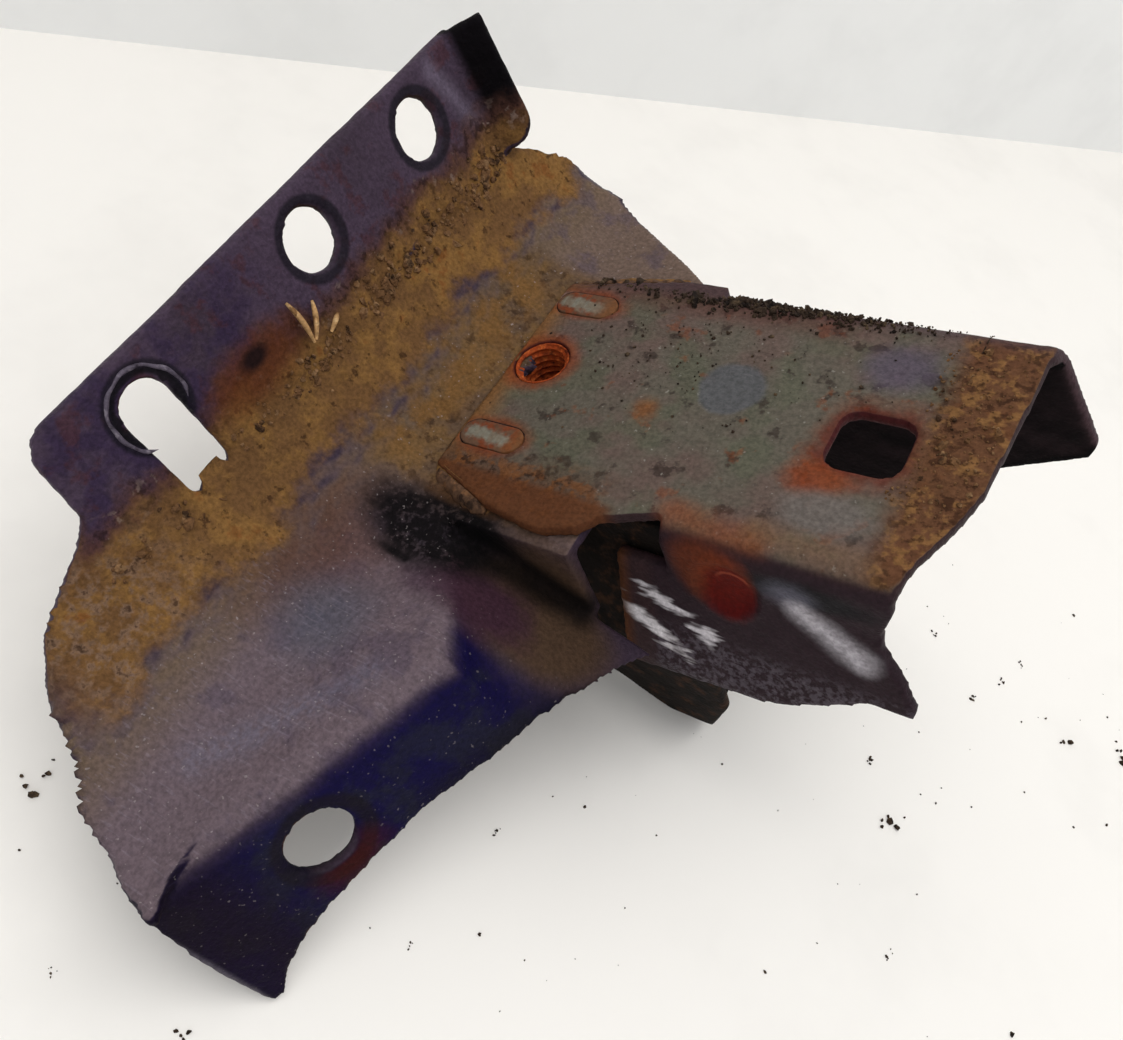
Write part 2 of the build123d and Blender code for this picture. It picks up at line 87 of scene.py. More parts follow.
# wear of the corroded sheets: distance in metres that merges points, and the smoothing of the edges
MERGE = 1e-6
WEAR = 0.5
WEAR_ROUNDS = 4


def flange_place(y: float, up: float, out: float = 0.0) -> Triple:
    """Point on the flange.

    Args:
        y: distance across the bracket, in millimetres.
        up: distance up the flange from the level of the arm's top.
        out: distance out of the flange's front face.

    Returns:
        The point in the bracket's frame.
    """
    x = FLANGE_BASE_X - up * math.sin(FLANGE_LEAN) + out * math.cos(FLANGE_LEAN)
    return (x, y, up * math.cos(FLANGE_LEAN) + out * math.sin(FLANGE_LEAN))


def tint(red: float, green: float, blue: float, gain: float = 1.0) -> Colour:
    """Display colour of 0 to 255 per channel as linear light, by the sRGB curve.

    Args:
        red: red channel.
        green: green channel.
        blue: blue channel.
        gain: factor on the linear result.

    Returns:
        Linear red, green and blue.
    """
    channels = []
    for channel in (red, green, blue):
        c = channel / 255
        linear = c / 12.92 if c <= 0.04045 else ((c + 0.055) / 1.055) ** 2.4
        channels.append(min(linear * gain, 1.0))
    return (channels[0], channels[1], channels[2])


class Slot(Enum):
    """Finish slots that the bracket's record names."""

    PLATE = "plate_paint"
    ARM = "arm_paint"
    TROUGH = "trough_paint"
    NUT = "nut_steel"
    PLUG = "plug_metal"
    BEAD = "bead_metal"


# ---- shader arithmetic --------------------------------------------------------------------------------
# how far one step of a noise's seed moves it, in blobs
SEED_SHIFT = (7.3, 3.1, 5.7)


class Value:
    """A number socket that takes part in Python arithmetic by adding Math nodes."""

    def __init__(self, kit: "ShaderKit", socket: Any) -> None:
        """Wrap one output socket of a material's node tree."""
        self.kit = kit
        self.socket = socket

    def _join(self, operation: str, first: Any, second: Any = None) -> "Value":
        """Result of one Math node on one or two numbers."""
        inputs = {0: first} if second is None else {0: first, 1: second}
        return Value(self.kit, self.kit.node("ShaderNodeMath", {"operation": operation}, inputs).outputs[0])

    def __add__(self, other: Any) -> "Value":
        """Sum."""
        return self._join("ADD", self, other)

    __radd__ = __add__

    def __sub__(self, other: Any) -> "Value":
        """Difference."""
        return self._join("SUBTRACT", self, other)

    def __rsub__(self, other: Any) -> "Value":
        """Difference with the number first."""
        return self._join("SUBTRACT", other, self)

    def __mul__(self, other: Any) -> "Value":
        """Product."""
        return self._join("MULTIPLY", self, other)

    __rmul__ = __mul__

    def __truediv__(self, other: Any) -> "Value":
        """Quotient."""
        return self._join("DIVIDE", self, other)

    def __pow__(self, other: Any) -> "Value":
        """Power."""
        return self._join("POWER", self, other)

    def __abs__(self) -> "Value":
        """Absolute value."""
        return self._join("ABSOLUTE", self)

    def most(self, other: Any) -> "Value":
        """Larger of two numbers."""
        return self._join("MAXIMUM", self, other)

    def least(self, other: Any) -> "Value":
        """Smaller of two numbers."""
        return self._join("MINIMUM", self, other)

    def between(self, low: float, high: float) -> "Value":
        """Smooth step from 0 at low to 1 at high; low may be the larger."""
        settings = {"interpolation_type": "SMOOTHSTEP"}
        if low > high:
            return 1 - self.between(high, low)
        step = self.kit.node("ShaderNodeMapRange", settings,
                             {"Value": self, "From Min": low, "From Max": high})
        return Value(self.kit, step.outputs[0])


class ShaderKit:
    """One material's node tree, with masks measured in millimetres on Object coordinates."""

    def __init__(self, name: str) -> None:
        """Make the material and its coordinate sockets."""
        self.material = bpy.data.materials.new(name)
        self.material.use_nodes = True
        self.tree = self.material.node_tree
        self.tree.nodes.clear()
        place = self.node("ShaderNodeTexCoord").outputs["Object"]
        self.mm = self.vector("MULTIPLY", place, (1000.0, 1000.0, 1000.0))
        axes = self.node("ShaderNodeSeparateXYZ", None, {0: self.mm})
        self.x, self.y, self.z = (Value(self, axes.outputs[i]) for i in range(3))
        facing = self.node("ShaderNodeSeparateXYZ", None,
                           {0: self.node("ShaderNodeNewGeometry").outputs["Normal"]})
        self.face_x, self.face_y, self.face_z = (Value(self, facing.outputs[i]) for i in range(3))

    def node(self, kind: str, settings: Optional[dict[str, Any]] = None,
             inputs: Optional[dict[Any, Any]] = None) -> Any:
        """Add one node.

        Args:
            kind: the node's type name.
            settings: attributes, set before the sockets.
            inputs: values or links by socket name or number.

        Returns:
            The new node.
        """
        made = self.tree.nodes.new(kind)
        for key, value in (settings or {}).items():
            setattr(made, key, value)
        for key, value in (inputs or {}).items():
            source = value.socket if isinstance(value, Value) else value
            if isinstance(source, bpy.types.NodeSocket):
                self.tree.links.new(source, made.inputs[key])
            else:
                made.inputs[key].default_value = source
        return made

    def vector(self, operation: str, first: Any, second: Any) -> Any:
        """Vector result of one Vector Math node."""
        return self.node("ShaderNodeVectorMath", {"operation": operation},
                         {0: first, 1: second}).outputs["Vector"]

    def measure(self, operation: str, first: Any, second: Any) -> Value:
        """Number result of one Vector Math node, such as a distance or a dot product."""
        made = self.node("ShaderNodeVectorMath", {"operation": operation}, {0: first, 1: second})
        return Value(self, made.outputs["Value"])

    def noise(self, size: float, detail: float = 3.0, seed: float = 0.0,
              stretch: Triple = (1, 1, 1)) -> Value:
        """Cloud noise from about 0.25 to 0.75.

        Args:
            size: size of its blobs, in millimetres.
            detail: octaves of finer noise on top.
            seed: shift that gives another pattern.
            stretch: factors on the blobs' size along X, Y and Z.

        Returns:
            The noise.
        """
        scale = tuple(1 / (size * s) for s in stretch)
        place = self.vector("MULTIPLY", self.mm, scale)
        shifted = self.vector("ADD", place, tuple(seed * shift for shift in SEED_SHIFT))
        made = self.node("ShaderNodeTexNoise", {"noise_dimensions": "3D"},
                         {"Vector": shifted, "Scale": 1.0, "Detail": detail, "Roughness": 0.6})
        return Value(self, made.outputs[0])

    def spot(self, centre: Triple, radius: float, edge: float, stretch: Triple = (1, 1, 1),
             wobble: Any = 0.0) -> Value:
        """Round mask, 1 inside.

        Args:
            centre: its middle, in millimetres.
            radius: its radius.
            edge: width of its soft edge.
            stretch: factors on the radius along X, Y and Z.
            wobble: number added to the distance, to break the edge.

        Returns:
            The mask.
        """
        offset = self.vector("SUBTRACT", self.mm, centre)
        scaled = self.vector("MULTIPLY", offset, tuple(1 / s for s in stretch))
        away = self.measure("DISTANCE", scaled, (0.0, 0.0, 0.0)) + wobble
        return away.between(radius + edge / 2, radius - edge / 2)

    def stroke(self, start: Triple, end: Triple, half: float, edge: float, wobble: Any = 0.0) -> Value:
        """Mask of a straight stroke with round ends, 1 inside; arguments as for spot."""
        run = np.subtract(end, start)
        along = self.measure("DOT_PRODUCT", self.vector("SUBTRACT", self.mm, start), tuple(run / (run @ run)))
        held = along.most(0.0).least(1.0)
        foot = self.node("ShaderNodeVectorMath", {"operation": "SCALE"},
                         {0: tuple(run), "Scale": held}).outputs[0]
        away = self.measure("DISTANCE", self.vector("SUBTRACT", self.mm, foot), start) + wobble
        return away.between(half + edge / 2, half - edge / 2)

    def ring(self, centre: Triple, radius: float, half: float, edge: float) -> Value:
        """Mask of a spherical shell round a point, which is a ring on a surface through that point."""
        away = abs(self.measure("DISTANCE", self.mm, centre) - radius)
        return away.between(half + edge / 2, half - edge / 2)

    def mix(self, under: Any, over: Any, mask: Any) -> Any:
        """Colour over another by a mask.

        Args:
            under: colour tuple or socket below.
            over: colour tuple or socket on top.
            mask: where the top colour shows.

        Returns:
            The mixed colour's socket.
        """
        four = [c + (1.0,) if isinstance(c, tuple) else c for c in (under, over)]
        made = self.node("ShaderNodeMix", {"data_type": "RGBA"})
        self._feed(made.inputs[0], mask)
        self._feed(made.inputs[6], four[0])
        self._feed(made.inputs[7], four[1])
        return made.outputs[2]

    def _feed(self, target: Any, value: Any) -> None:
        """Link a socket or set a value on one input."""
        source = value.socket if isinstance(value, Value) else value
        if isinstance(source, bpy.types.NodeSocket):
            self.tree.links.new(source, target)
        else:
            target.default_value = source


class Coats:
    """Layers of colour, roughness and height laid one over another."""

    def __init__(self, name: str, colour: Any, roughness: Any) -> None:
        """Start with the bottom layer.

        Args:
            name: the material's name.
            colour: linear colour of the bottom layer.
            roughness: its roughness.
        """
        self.kit = ShaderKit(name)
        self.colour: Any = colour
        self.roughness: Any = roughness
        self.height: Any = 0.0

    def lay(self, colour: Any, mask: Any, roughness: Optional[float] = None, height: float = 0.0) -> "Coats":
        """Lay a colour over what is there.

        Args:
            colour: linear colour of the layer.
            mask: where it shows.
            roughness: its roughness, or None to keep what is below.
            height: how far it stands out, in millimetres.

        Returns:
            These coats.
        """
        self.colour = self.kit.mix(self.colour, colour, mask)
        if roughness is not None:
            self.roughness = self.roughness + mask * (roughness - self.roughness) if isinstance(
                self.roughness, Value) else (mask * (roughness - self.roughness) + self.roughness)
        if height:
            self.height = mask * height + self.height
        return self

    def shade(self, factor: Value) -> "Coats":
        """Multiply the colour by a number."""
        self.colour = self.kit.node("ShaderNodeVectorMath", {"operation": "SCALE"},
                                    {0: self.colour, "Scale": factor}).outputs[0]
        return self

    def finish(self, metallic: Any = 0.0, bump: float = 1.0, specular: float = 0.5) -> Any:
        """Connect the surface shader.

        Args:
            metallic: metallic amount.
            bump: strength of the relief.
            specular: strength of the gloss.

        Returns:
            The finished material.
        """
        kit = self.kit
        relief = kit.node("ShaderNodeBump", None,
                          {"Strength": bump, "Distance": 0.001, "Height": self.height})
        surface = kit.node("ShaderNodeBsdfPrincipled", None, {
            "Base Color": self.colour, "Roughness": self.roughness, "Metallic": metallic,
            "Normal": relief.outputs[0], "Specular IOR Level": specular})
        out = kit.node("ShaderNodeOutputMaterial")
        kit.tree.links.new(surface.outputs[0], out.inputs[0])
        return kit.material


# ---- finishes -----------------------------------------------------------------------------------------
@dataclass(frozen=True)
class Palette:
    """Colours met all over the bracket."""

    violet: Colour = tint(98, 84, 90)
    ochre_dirt: Colour = tint(124, 90, 50)
    brown_dirt: Colour = tint(104, 74, 44)
    dark_dirt: Colour = tint(46, 28, 18)
    rust: Colour = tint(110, 56, 24)
    red_rust: Colour = tint(82, 8, 4)
    orange_rust: Colour = tint(118, 52, 20)


PAINTS = Palette()


def grit(coats: Coats, amount: float = 1.0) -> Value:
    """Fine relief all over a weathered sheet: grains, pits and slow waves.

    Args:
        coats: the layers it is added to.
        amount: factor on the relief.

    Returns:
        The fine grain, for breaking masks.
    """
    kit = coats.kit
    grain = kit.noise(0.9, 2.0, seed=1)
    lumps = kit.noise(3.6, 3.0, seed=2)
    waves = kit.noise(22.0, 2.0, seed=3)
    coats.height = grain * (0.28 * amount) + lumps * (0.55 * amount) + waves * (1.6 * amount) + coats.height
    return grain


@dataclass(frozen=True)
class PlatePaintWithPaintedLight:
    """Worn blue-black paint of the mounting plate, with dirt packed in the valley, painted shade on the
    skirt, the pocket and the ear, and a painted highlight on the crease.
    """

    def build(self) -> Any:
        """Return the material."""
        c = Coats("plate_worn_paint_and_painted_light", tint(58, 46, 58), 0.5)
        k = c.kit
        grain = grit(c)
        blotch = k.noise(11.0, 4.0, seed=5)
        broad = k.noise(34.0, 3.0, seed=6)
        speck = k.noise(1.6, 2.0, seed=7)
        wob = (blotch - 0.5) * 14.0
        base_z = (k.y + 41.0).between(0.0, -95.0) * 6.0
        flange = k.z.between(22.0, 34.0) * k.x.between(-96.0, -100.0)
        web = ((k.z - base_z).between(16.0, 9.0) * (k.z - base_z).between(-5.5, -3.6)
               * k.face_z.between(0.55, 0.85))
        skirt = ((k.face_z + (blotch - 0.5) * 0.5).between(0.86, 0.34) * k.y.between(-48.0, -60.0)
                 * k.x.between(-84.0, -76.0))
        # web: greyed violet paint, browner toward the far end and the valley
        c.lay(PAINTS.violet, web, 0.5)
        c.lay(tint(104, 86, 74), web * k.y.between(14.0, 40.0) * 0.9, 0.75)
        c.lay(tint(100, 82, 62), web * k.x.between(-86.0, -98.0) * 0.8, 0.8)
        c.lay(tint(74, 64, 78), web * blotch.between(0.5, 0.62) * 0.5)
        c.lay(tint(78, 50, 40), web * k.spot((-96.0, -60.0, 3.0), 13.0, 16.0, (1.1, 1.4, 1), wob) * 0.75, 0.7)
        beside = k.y.between(-44.0, -33.0) * k.y.between(36.0, 30.0)
        c.lay(tint(88, 68, 48), web * beside * 0.88, 0.9)
        c.lay(tint(112, 84, 50), web * beside * blotch.between(0.42, 0.58) * 0.7, 0.95)
        c.lay(tint(52, 36, 26), web * beside * k.noise(3.0, 4.0, seed=16).between(0.52, 0.64) * 0.7, 0.95)
        c.lay(tint(70, 78, 92), web * k.spot((-82.0, -73.0, 0.0), 9.0, 12.0, (1, 1, 1), wob * 0.6) * 0.5)
        c.lay(tint(112, 104, 98), web * k.spot((-96.7, -26.0, 1.0), 3.6, 3.0, (1, 0.8, 1), wob * 0.2) * 0.6)
        # skirt: the paint's deep blue, darkened with painted shade where it turns down from the web, darker
        # toward its outer end and its foot by the arm; greyer toward the arm
        c.lay(tint(9, 5, 50), skirt * 0.97, 0.7)
        c.lay(tint(26, 26, 42), skirt * blotch.between(0.46, 0.6) * 0.8)
        c.lay(tint(8, 2, 66), skirt * broad.between(0.46, 0.6) * k.y.between(-76.0, -96.0) * 0.7)
        c.lay(tint(20, 9, 20), skirt * k.y.between(-112.0, -126.0) * 0.8)
        c.lay(tint(16, 12, 12), skirt * k.z.between(-14.0, -24.0) * k.y.between(-98.0, -88.0) * 0.7)
        # crease: painted bluish highlight along the bend
        crease = k.stroke((-84.0, -107.0, 3.2), (-64.0, -78.0, 1.6), 2.6, 7.0, wob * 0.35)
        c.lay(tint(104, 100, 116), crease * (speck.between(0.3, 0.62) * 0.45 + 0.1), 0.5)
        # pocket beside the tongue: painted shade, near black, with a thin line of painted shade along its
        # edge; olive and purple painted half shade on its slope
        c.lay(tint(70, 52, 36), k.spot((-52.0, -50.0, -14.0), 19.0, 10.0, (1.0, 0.62, 1.1), wob * 0.4) * 0.9,
              0.85)
        c.lay(tint(50, 26, 44), k.spot((-60.0, -54.0, -8.0), 9.0, 8.0, (1.5, 0.8, 1.2), wob * 0.8) * 0.8,
              0.85)
        # noise that breaks up the pocket's painted shade
        worn = k.noise(1.8, 3.0, seed=17).between(0.3, 0.52) * 0.3 + 0.68
        c.lay(tint(11, 9, 10), k.spot((-76.0, -45.0, -3.0), 13.0, 9.0, (1.5, 0.68, 0.8), wob * 0.6) * worn,
              0.95)
        c.lay(tint(11, 9, 10),
              k.stroke((-70.0, -43.0, -4.0), (-46.0, -42.0, -22.0), 3.4, 6.0, wob * 0.3) * 0.93, 0.95)
        c.lay(tint(8, 7, 8),
              k.stroke((-93.0, -52.0, -0.8), (-77.0, -53.5, -2.3), 1.0, 1.6, wob * 0.08) * 0.9, 0.9)
        c.lay(tint(78, 52, 30), k.spot((-70.0, -35.5, -3.0), 3.5, 4.0, (4.0, 0.6, 1.0), wob * 0.4) * 0.7, 0.9)
        # flange: nearly black, violet patches
        c.lay(tint(70, 56, 72), flange * broad.between(0.42, 0.58) * 0.7, 0.5)
        c.lay(tint(46, 34, 58), flange * k.y.between(-20.0, -40.0) * blotch.between(0.42, 0.6) * 0.8, 0.5)
        c.lay(tint(66, 36, 40), flange * k.noise(7.0, 4.0, seed=11).between(0.54, 0.64) * 0.6)
        c.lay(tint(122, 110, 128),
              flange * k.stroke(flange_place(37.0, 50.0), flange_place(42.0, 34.0), 1.6, 5.0,
                                                     wob * 0.2) * 0.45)
        # painted shade: the ear at the flange's far end is near black where it faces away from the light
        c.lay(tint(2, 1, 2), k.y.between(44.5, 46.5) * k.z.between(24.0, 30.0) * 0.96, 0.8)
        # valley dirt and the gravel line above it
        rough = k.noise(8.0, 5.0, seed=8)
        fine = k.noise(2.4, 4.0, seed=9)
        front = k.face_z.between(-0.1, 0.12) * k.face_x.between(-0.2, 0.1)
        band = (k.z - base_z + (blotch - 0.5) * 16.0 + (broad - 0.5) * 10.0)
        valley = (band.between(7.0, 12.0) * band.between(33.0, 26.0) * k.y.between(-116.0, -104.0) * front
                  * k.x.between(-90.0, -96.0))
        gravel = (band.between(21.0, 26.0) * band.between(37.0, 31.0) * k.y.between(-104.0, -92.0) * front
                  * k.x.between(-98.0, -101.0))
        c.lay(tint(76, 50, 42), gravel * 0.85, 0.95, 0.3)
        c.lay(tint(34, 20, 20), gravel * fine.between(0.5, 0.6) * 0.85, 0.95)
        c.lay(tint(122, 104, 96), gravel * k.noise(3.0, 3.0, seed=13).between(0.6, 0.68) * 0.7)
        c.lay(PAINTS.brown_dirt, valley * 0.95, 0.95, 0.3)
        c.lay(PAINTS.ochre_dirt, valley * rough.between(0.42, 0.62), 0.95, 0.2)
        c.lay(tint(120, 96, 80), valley * k.y.between(-70.0, -92.0) * fine.between(0.44, 0.6) * 0.7)
        c.lay(PAINTS.dark_dirt, valley * fine.between(0.58, 0.68) * 0.7, 0.95)
        c.lay(PAINTS.rust, valley * rough.between(0.6, 0.7) * 0.5, 0.9)
        c.lay(tint(84, 44, 22), k.spot((-108.0, -41.0, 32.0), 6.0, 6.0, (1, 2.2, 1), wob * 0.4) * 0.8, 0.9)
        c.lay(tint(16, 10, 14), k.spot((-108.2, -40.0, 34.0), 2.2, 2.0, (1, 1.8, 1), wob * 0.15) * 0.9, 0.9)
        ledge = web * k.x.between(-84.0, -92.0) * k.y.between(-38.0, -28.0) * k.y.between(30.0, 22.0)
        c.lay(tint(112, 80, 44), ledge * rough.between(0.4, 0.56) * 0.8, 0.95, 0.2)
        # scratches, specks and worn edges
        broken = k.noise(2.2, 2.0, seed=12).between(0.40, 0.5)
        c.lay(tint(176, 170, 188), k.stroke((-100.4, -73.0, 7.4), (-98.6, -77.5, 6.0), 1.0, 0.8) * broken,
              0.5)
        c.lay(tint(176, 170, 188), k.stroke((-97.4, -79.5, 5.1), (-91.8, -88.0, 2.7), 1.1, 0.9) * broken, 0.5)
        hair = k.noise(1.1, 1.0, seed=14, stretch=(9.0, 0.6, 1.0)).between(0.62, 0.68)
        c.lay(tint(138, 128, 140), hair * web * k.y.between(-56.0, -70.0) * 0.16)
        c.lay(tint(150, 140, 140), k.noise(0.9, 1.0, seed=15).between(0.70, 0.76) * (web + skirt * 0.6) * 0.5)
        c.lay(tint(104, 96, 104), k.stroke((-93.5, -125.5, 2.0), (-76.0, -132.0, 1.0), 0.9, 1.0) * 0.8, 0.4)
        c.lay(tint(84, 78, 88),
              k.stroke((-74.0, -133.5, 0.0), (-66.0, -134.0, -34.0), 0.8, 1.2, wob * 0.05) * 0.7, 0.4)
        # bolt holes
        for y in BOLT_YS:
            c.lay(tint(16, 14, 22), k.ring(flange_place(y, BOLT_UP), 8.0, 1.1, 1.0) * 0.8)
        c.lay(tint(10, 8, 12), k.spot(flange_place(BOLT_YS[2], BOLT_UP), 7.4, 0.6) * front * 0.9)
        c.lay(tint(20, 14, 18), k.ring(SKIRT_HOLE, 8.6, 1.5, 1.4) * 0.7)
        c.lay(tint(58, 16, 10),
              k.spot((-58.0, -107.0, -19.5), 5.0, 7.0, (1, 1.4, 0.9), wob * 0.4) * skirt * 0.75, 0.85)
        # underside and back: dark brown film
        under = k.face_z.between(-0.15, -0.6)
        c.lay(tint(48, 32, 24), under * 0.85, 0.8)
        c.lay(PAINTS.rust, under * blotch.between(0.54, 0.66) * 0.6)
        c.shade(grain.between(0.2, 0.8) * 0.5 + 0.72)
        return c.finish(bump=0.9, specular=0.08)


@dataclass(frozen=True)
class ArmPaintWithPaintedLight:
    """Thin grey-black paint of the arm, rust brown where it thins, with painted shade and a painted highlight
    on the near wall and painted shade inside.
    """

    def build(self) -> Any:
        """Return the material."""
        c = Coats("arm_thin_paint_and_painted_light", tint(50, 34, 36), 0.6)
        k = c.kit
        grain = grit(c, 0.9)
        blotch = k.noise(9.0, 4.0, seed=21)
        broad = k.noise(26.0, 3.0, seed=22)
        speck = k.noise(1.3, 2.0, seed=20)
        wob = (blotch - 0.5) * 12.0
        top = k.face_z.between(0.6, 0.9) * k.z.between(-4.0, -1.0)
        c.lay(tint(88, 82, 72), top, 0.62)
        c.lay(tint(92, 74, 68), top * broad.between(0.45, 0.6) * 0.8)
        c.lay(tint(80, 82, 66), top * k.noise(17.0, 3.0, seed=23).between(0.48, 0.6) * 0.6)
        c.lay(tint(44, 34, 30), top * k.noise(6.0, 4.0, seed=24).between(0.58, 0.66) * 0.7, 0.8)
        c.lay(PAINTS.rust, top * k.noise(7.0, 4.0, seed=25).between(0.6, 0.68) * 0.5, 0.8)
        c.lay(tint(150, 146, 138), top * speck.between(0.66, 0.74) * 0.45)
        # tongue root: ochre grit, orange round the plugs
        c.lay(tint(116, 78, 42), top * (k.x + wob * 0.5).between(-76.0, -84.0) * 0.85, 0.9, 0.2)
        lip = top * (k.y + wob * 0.5).between(-19.0, -30.0) * k.x.between(-38.0, -50.0)
        c.lay(tint(80, 58, 44), lip * 0.85, 0.92, 0.1)
        c.lay(tint(108, 66, 34), lip * k.noise(3.4, 4.0, seed=31).between(0.48, 0.6) * 0.8, 0.92)
        c.lay(tint(34, 24, 20), lip * k.noise(2.4, 4.0, seed=32).between(0.54, 0.64) * 0.8, 0.95)
        c.lay(tint(84, 52, 44), top * (k.y + wob * 0.4).between(22.0, 29.0) * k.x.between(-6.0, -20.0) * 0.6,
              0.8)
        for y in PLUG_YS:
            c.lay(PAINTS.orange_rust,
                  k.spot((PLUG_X, y, 0.0), 6.2, 4.0, (1.6, 0.8, 1), wob * 0.35) * top * 0.75, 0.85)
        c.lay(tint(120, 54, 22), k.spot((*THREAD_XY, 0.0), 9.0, 4.0, (1, 1, 1), wob * 0.4) * top * 0.7, 0.85)
        c.lay(tint(70, 20, 10), k.spot((*THREAD_XY, -2.0), 7.2, 0.8) * 0.8, 0.8)
        # rust round the square hole and at the arm's end
        c.lay(tint(96, 50, 32), top * k.spot((0.0, 0.0, 0.0), 11.0, 6.0, (1, 1, 1), wob) * 0.6, 0.8)
        c.lay(PAINTS.orange_rust, top * k.spot((-6.0, -11.0, 0.0), 4.5, 4.0, (1.4, 0.9, 1), wob * 0.5) * 0.8,
              0.8)
        c.lay(PAINTS.red_rust, k.spot((0.0, 0.0, 0.0), 9.0, 2.4, (1, 1, 1), (blotch - 0.5) * 9) * 0.45, 0.8)
        ending = (k.x + wob * 0.6).between(5.0, 12.0) * top
        c.lay(tint(92, 58, 36), ending * 0.9, 0.92, 0.2)
        c.lay(tint(128, 92, 54), ending * k.noise(3.4, 3.0, seed=28).between(0.5, 0.62) * 0.7, 0.92, 0.1)
        c.lay(tint(56, 34, 22), ending * k.noise(2.6, 3.0, seed=27).between(0.52, 0.62) * 0.8, 0.95)
        # smooth grey patches
        c.lay(tint(79, 79, 81), k.spot((*PATCH_XY, 0.0), 7.0, 1.6, (1, 1, 1), (blotch - 0.5) * 3.0) * 0.95,
              0.5)
        c.lay(tint(98, 91, 86), k.spot((-2.4, -18.0, 0.0), 6.0, 5.0, (1.3, 0.8, 1), wob * 0.4) * top * 0.9,
              0.5)
        c.lay(tint(78, 68, 84), k.spot((-1.0, 20.0, 0.0), 6.0, 6.0, (1.1, 1.0, 1), wob * 0.4) * top * 0.75,
              0.5)
        c.lay(tint(106, 100, 96), k.spot((-79.0, 23.5, 0.0), 4.6, 3.0, (1.8, 0.6, 1), wob * 0.2) * top * 0.6,
              0.5)
        c.lay(tint(118, 68, 28), top * k.spot((-46.0, -4.0, 0.0), 3.0, 4.0, (1, 1, 1), wob * 0.5) * 0.7, 0.85)
        # far bend and near bend
        c.lay(tint(66, 48, 52), k.y.between(28.0, 33.0) * k.face_z.between(-0.3, 0.2) * 0.8, 0.6)
        c.lay(tint(116, 62, 34),
              k.stroke((-28.0, -26.0, -1.0), (-12.0, -28.0, -2.0), 3.0, 6.0, wob * 0.4) * 0.75, 0.8)
        c.lay(tint(112, 84, 56),
              k.stroke((-12.0, -25.0, -1.0), (10.0, -26.0, -2.0), 2.0, 5.0, wob * 0.4) * 0.5, 0.8)
        # far wall's outside: dark film with rust coming through, dirtier toward its foot
        outside = k.y.between(34.6, 35.2)
        c.lay(tint(60, 48, 50), outside * 0.8, 0.65)
        c.lay(tint(92, 54, 30), outside * k.noise(15.0, 5.0, seed=34).between(0.48, 0.62) * 0.85, 0.85)
        c.lay(tint(26, 20, 20), outside * k.noise(6.0, 4.0, seed=35).between(0.55, 0.66) * 0.8, 0.8)
        c.lay(tint(104, 80, 54), outside * (k.z + wob).between(-52.0, -80.0) * 0.6, 0.95)
        c.lay(tint(136, 126, 122),
              outside * k.noise(1.6, 1.0, seed=36, stretch=(8.0, 1.0, 0.5)).between(0.64, 0.7) * 0.4)
        # near wall: painted shade, darkest in a band near its top toward the end; the rust dimple; a painted
        # highlight along its flare with a bluish painted sheen above it; grey specks of painted light on the
        # lower flare; white scratches
        side = k.y.between(-28.0, -30.5)
        wall = side * k.x.between(-36.0, -32.0)
        # painted shade: the near wall darkened where it faces away from the light
        c.lay(tint(38, 25, 31), wall * 0.92, 0.6)
        # painted light: grey specks on the lower flare, where it faces up
        c.lay(tint(92, 84, 92), wall * k.z.between(-26.0, -32.0) * speck.between(0.42, 0.6) * 0.5, 0.5)
        # painted shade: dark band near the wall's top toward the end
        c.lay(tint(14, 12, 16),
              wall * k.spot((-1.0, -31.0, -8.0), 5.0, 4.0, (2.6, 1, 0.7), wob * 0.2) * 0.95, 0.6)
        c.lay(tint(96, 44, 22),
              wall * k.spot((-22.0, -31.0, -9.0), 7.0, 5.0, (0.9, 1, 1.2), wob * 0.3) * 0.8, 0.8)
        c.lay(tint(104, 44, 20), k.spot((-17.0, -31.0, -10.5), 6.5, 4.0, (0.95, 1, 1.1), wob * 0.3) * 0.8,
              0.8)
        c.lay(PAINTS.red_rust,
              k.spot((-16.0, -31.0, -14.5), 6.4, 4.0, (0.85, 1, 1.1), (blotch - 0.5) * 6) * 0.9, 0.7)
        c.lay(tint(150, 70, 48),
              k.ring((-16.0, -31.0, -13.0), 3.6, 0.35, 0.6) * k.z.between(-13.0, -10.0) * 0.6, 0.6)
        # painted highlight along the wall's flare, broken by noise
        near_wall_highlight_breakup = k.noise(2.4, 3.0, seed=33, stretch=(1.6, 1.0, 1.2)).between(0.3, 0.66)
        near_wall_painted_highlight = k.stroke((-2.0, -31.0, -13.5), (10.0, -32.5, -21.5), 2.4, 5.0, wob * 0.25)
        # painted sheen: bluish light spot above the highlight
        c.lay(tint(104, 102, 116),
              k.spot((-4.0, -31.0, -9.5), 3.4, 5.0, (1.4, 1, 1), wob * 0.3) * wall * 0.55, 0.45)
        c.lay(tint(214, 208, 214), near_wall_painted_highlight * (near_wall_highlight_breakup * 0.35 + 0.5) * wall * 0.85, 0.45)
        streak = (k.noise(2.0, 2.0, seed=30, stretch=(4, 1, 1)) - 0.5) * 9
        c.lay(tint(222, 216, 218),
              k.stroke((-43.0, -35.0, -26.0), (-26.0, -38.5, -34.0), 1.6, 2.4, streak) * 0.9, 0.5)
        c.lay(tint(212, 206, 210),
              k.stroke((-36.0, -33.5, -20.0), (-21.0, -36.0, -28.0), 1.4, 2.4, streak) * 0.85, 0.5)
        c.lay(tint(86, 50, 28), side * k.x.between(-38.0, -42.0) * 0.9, 0.9)
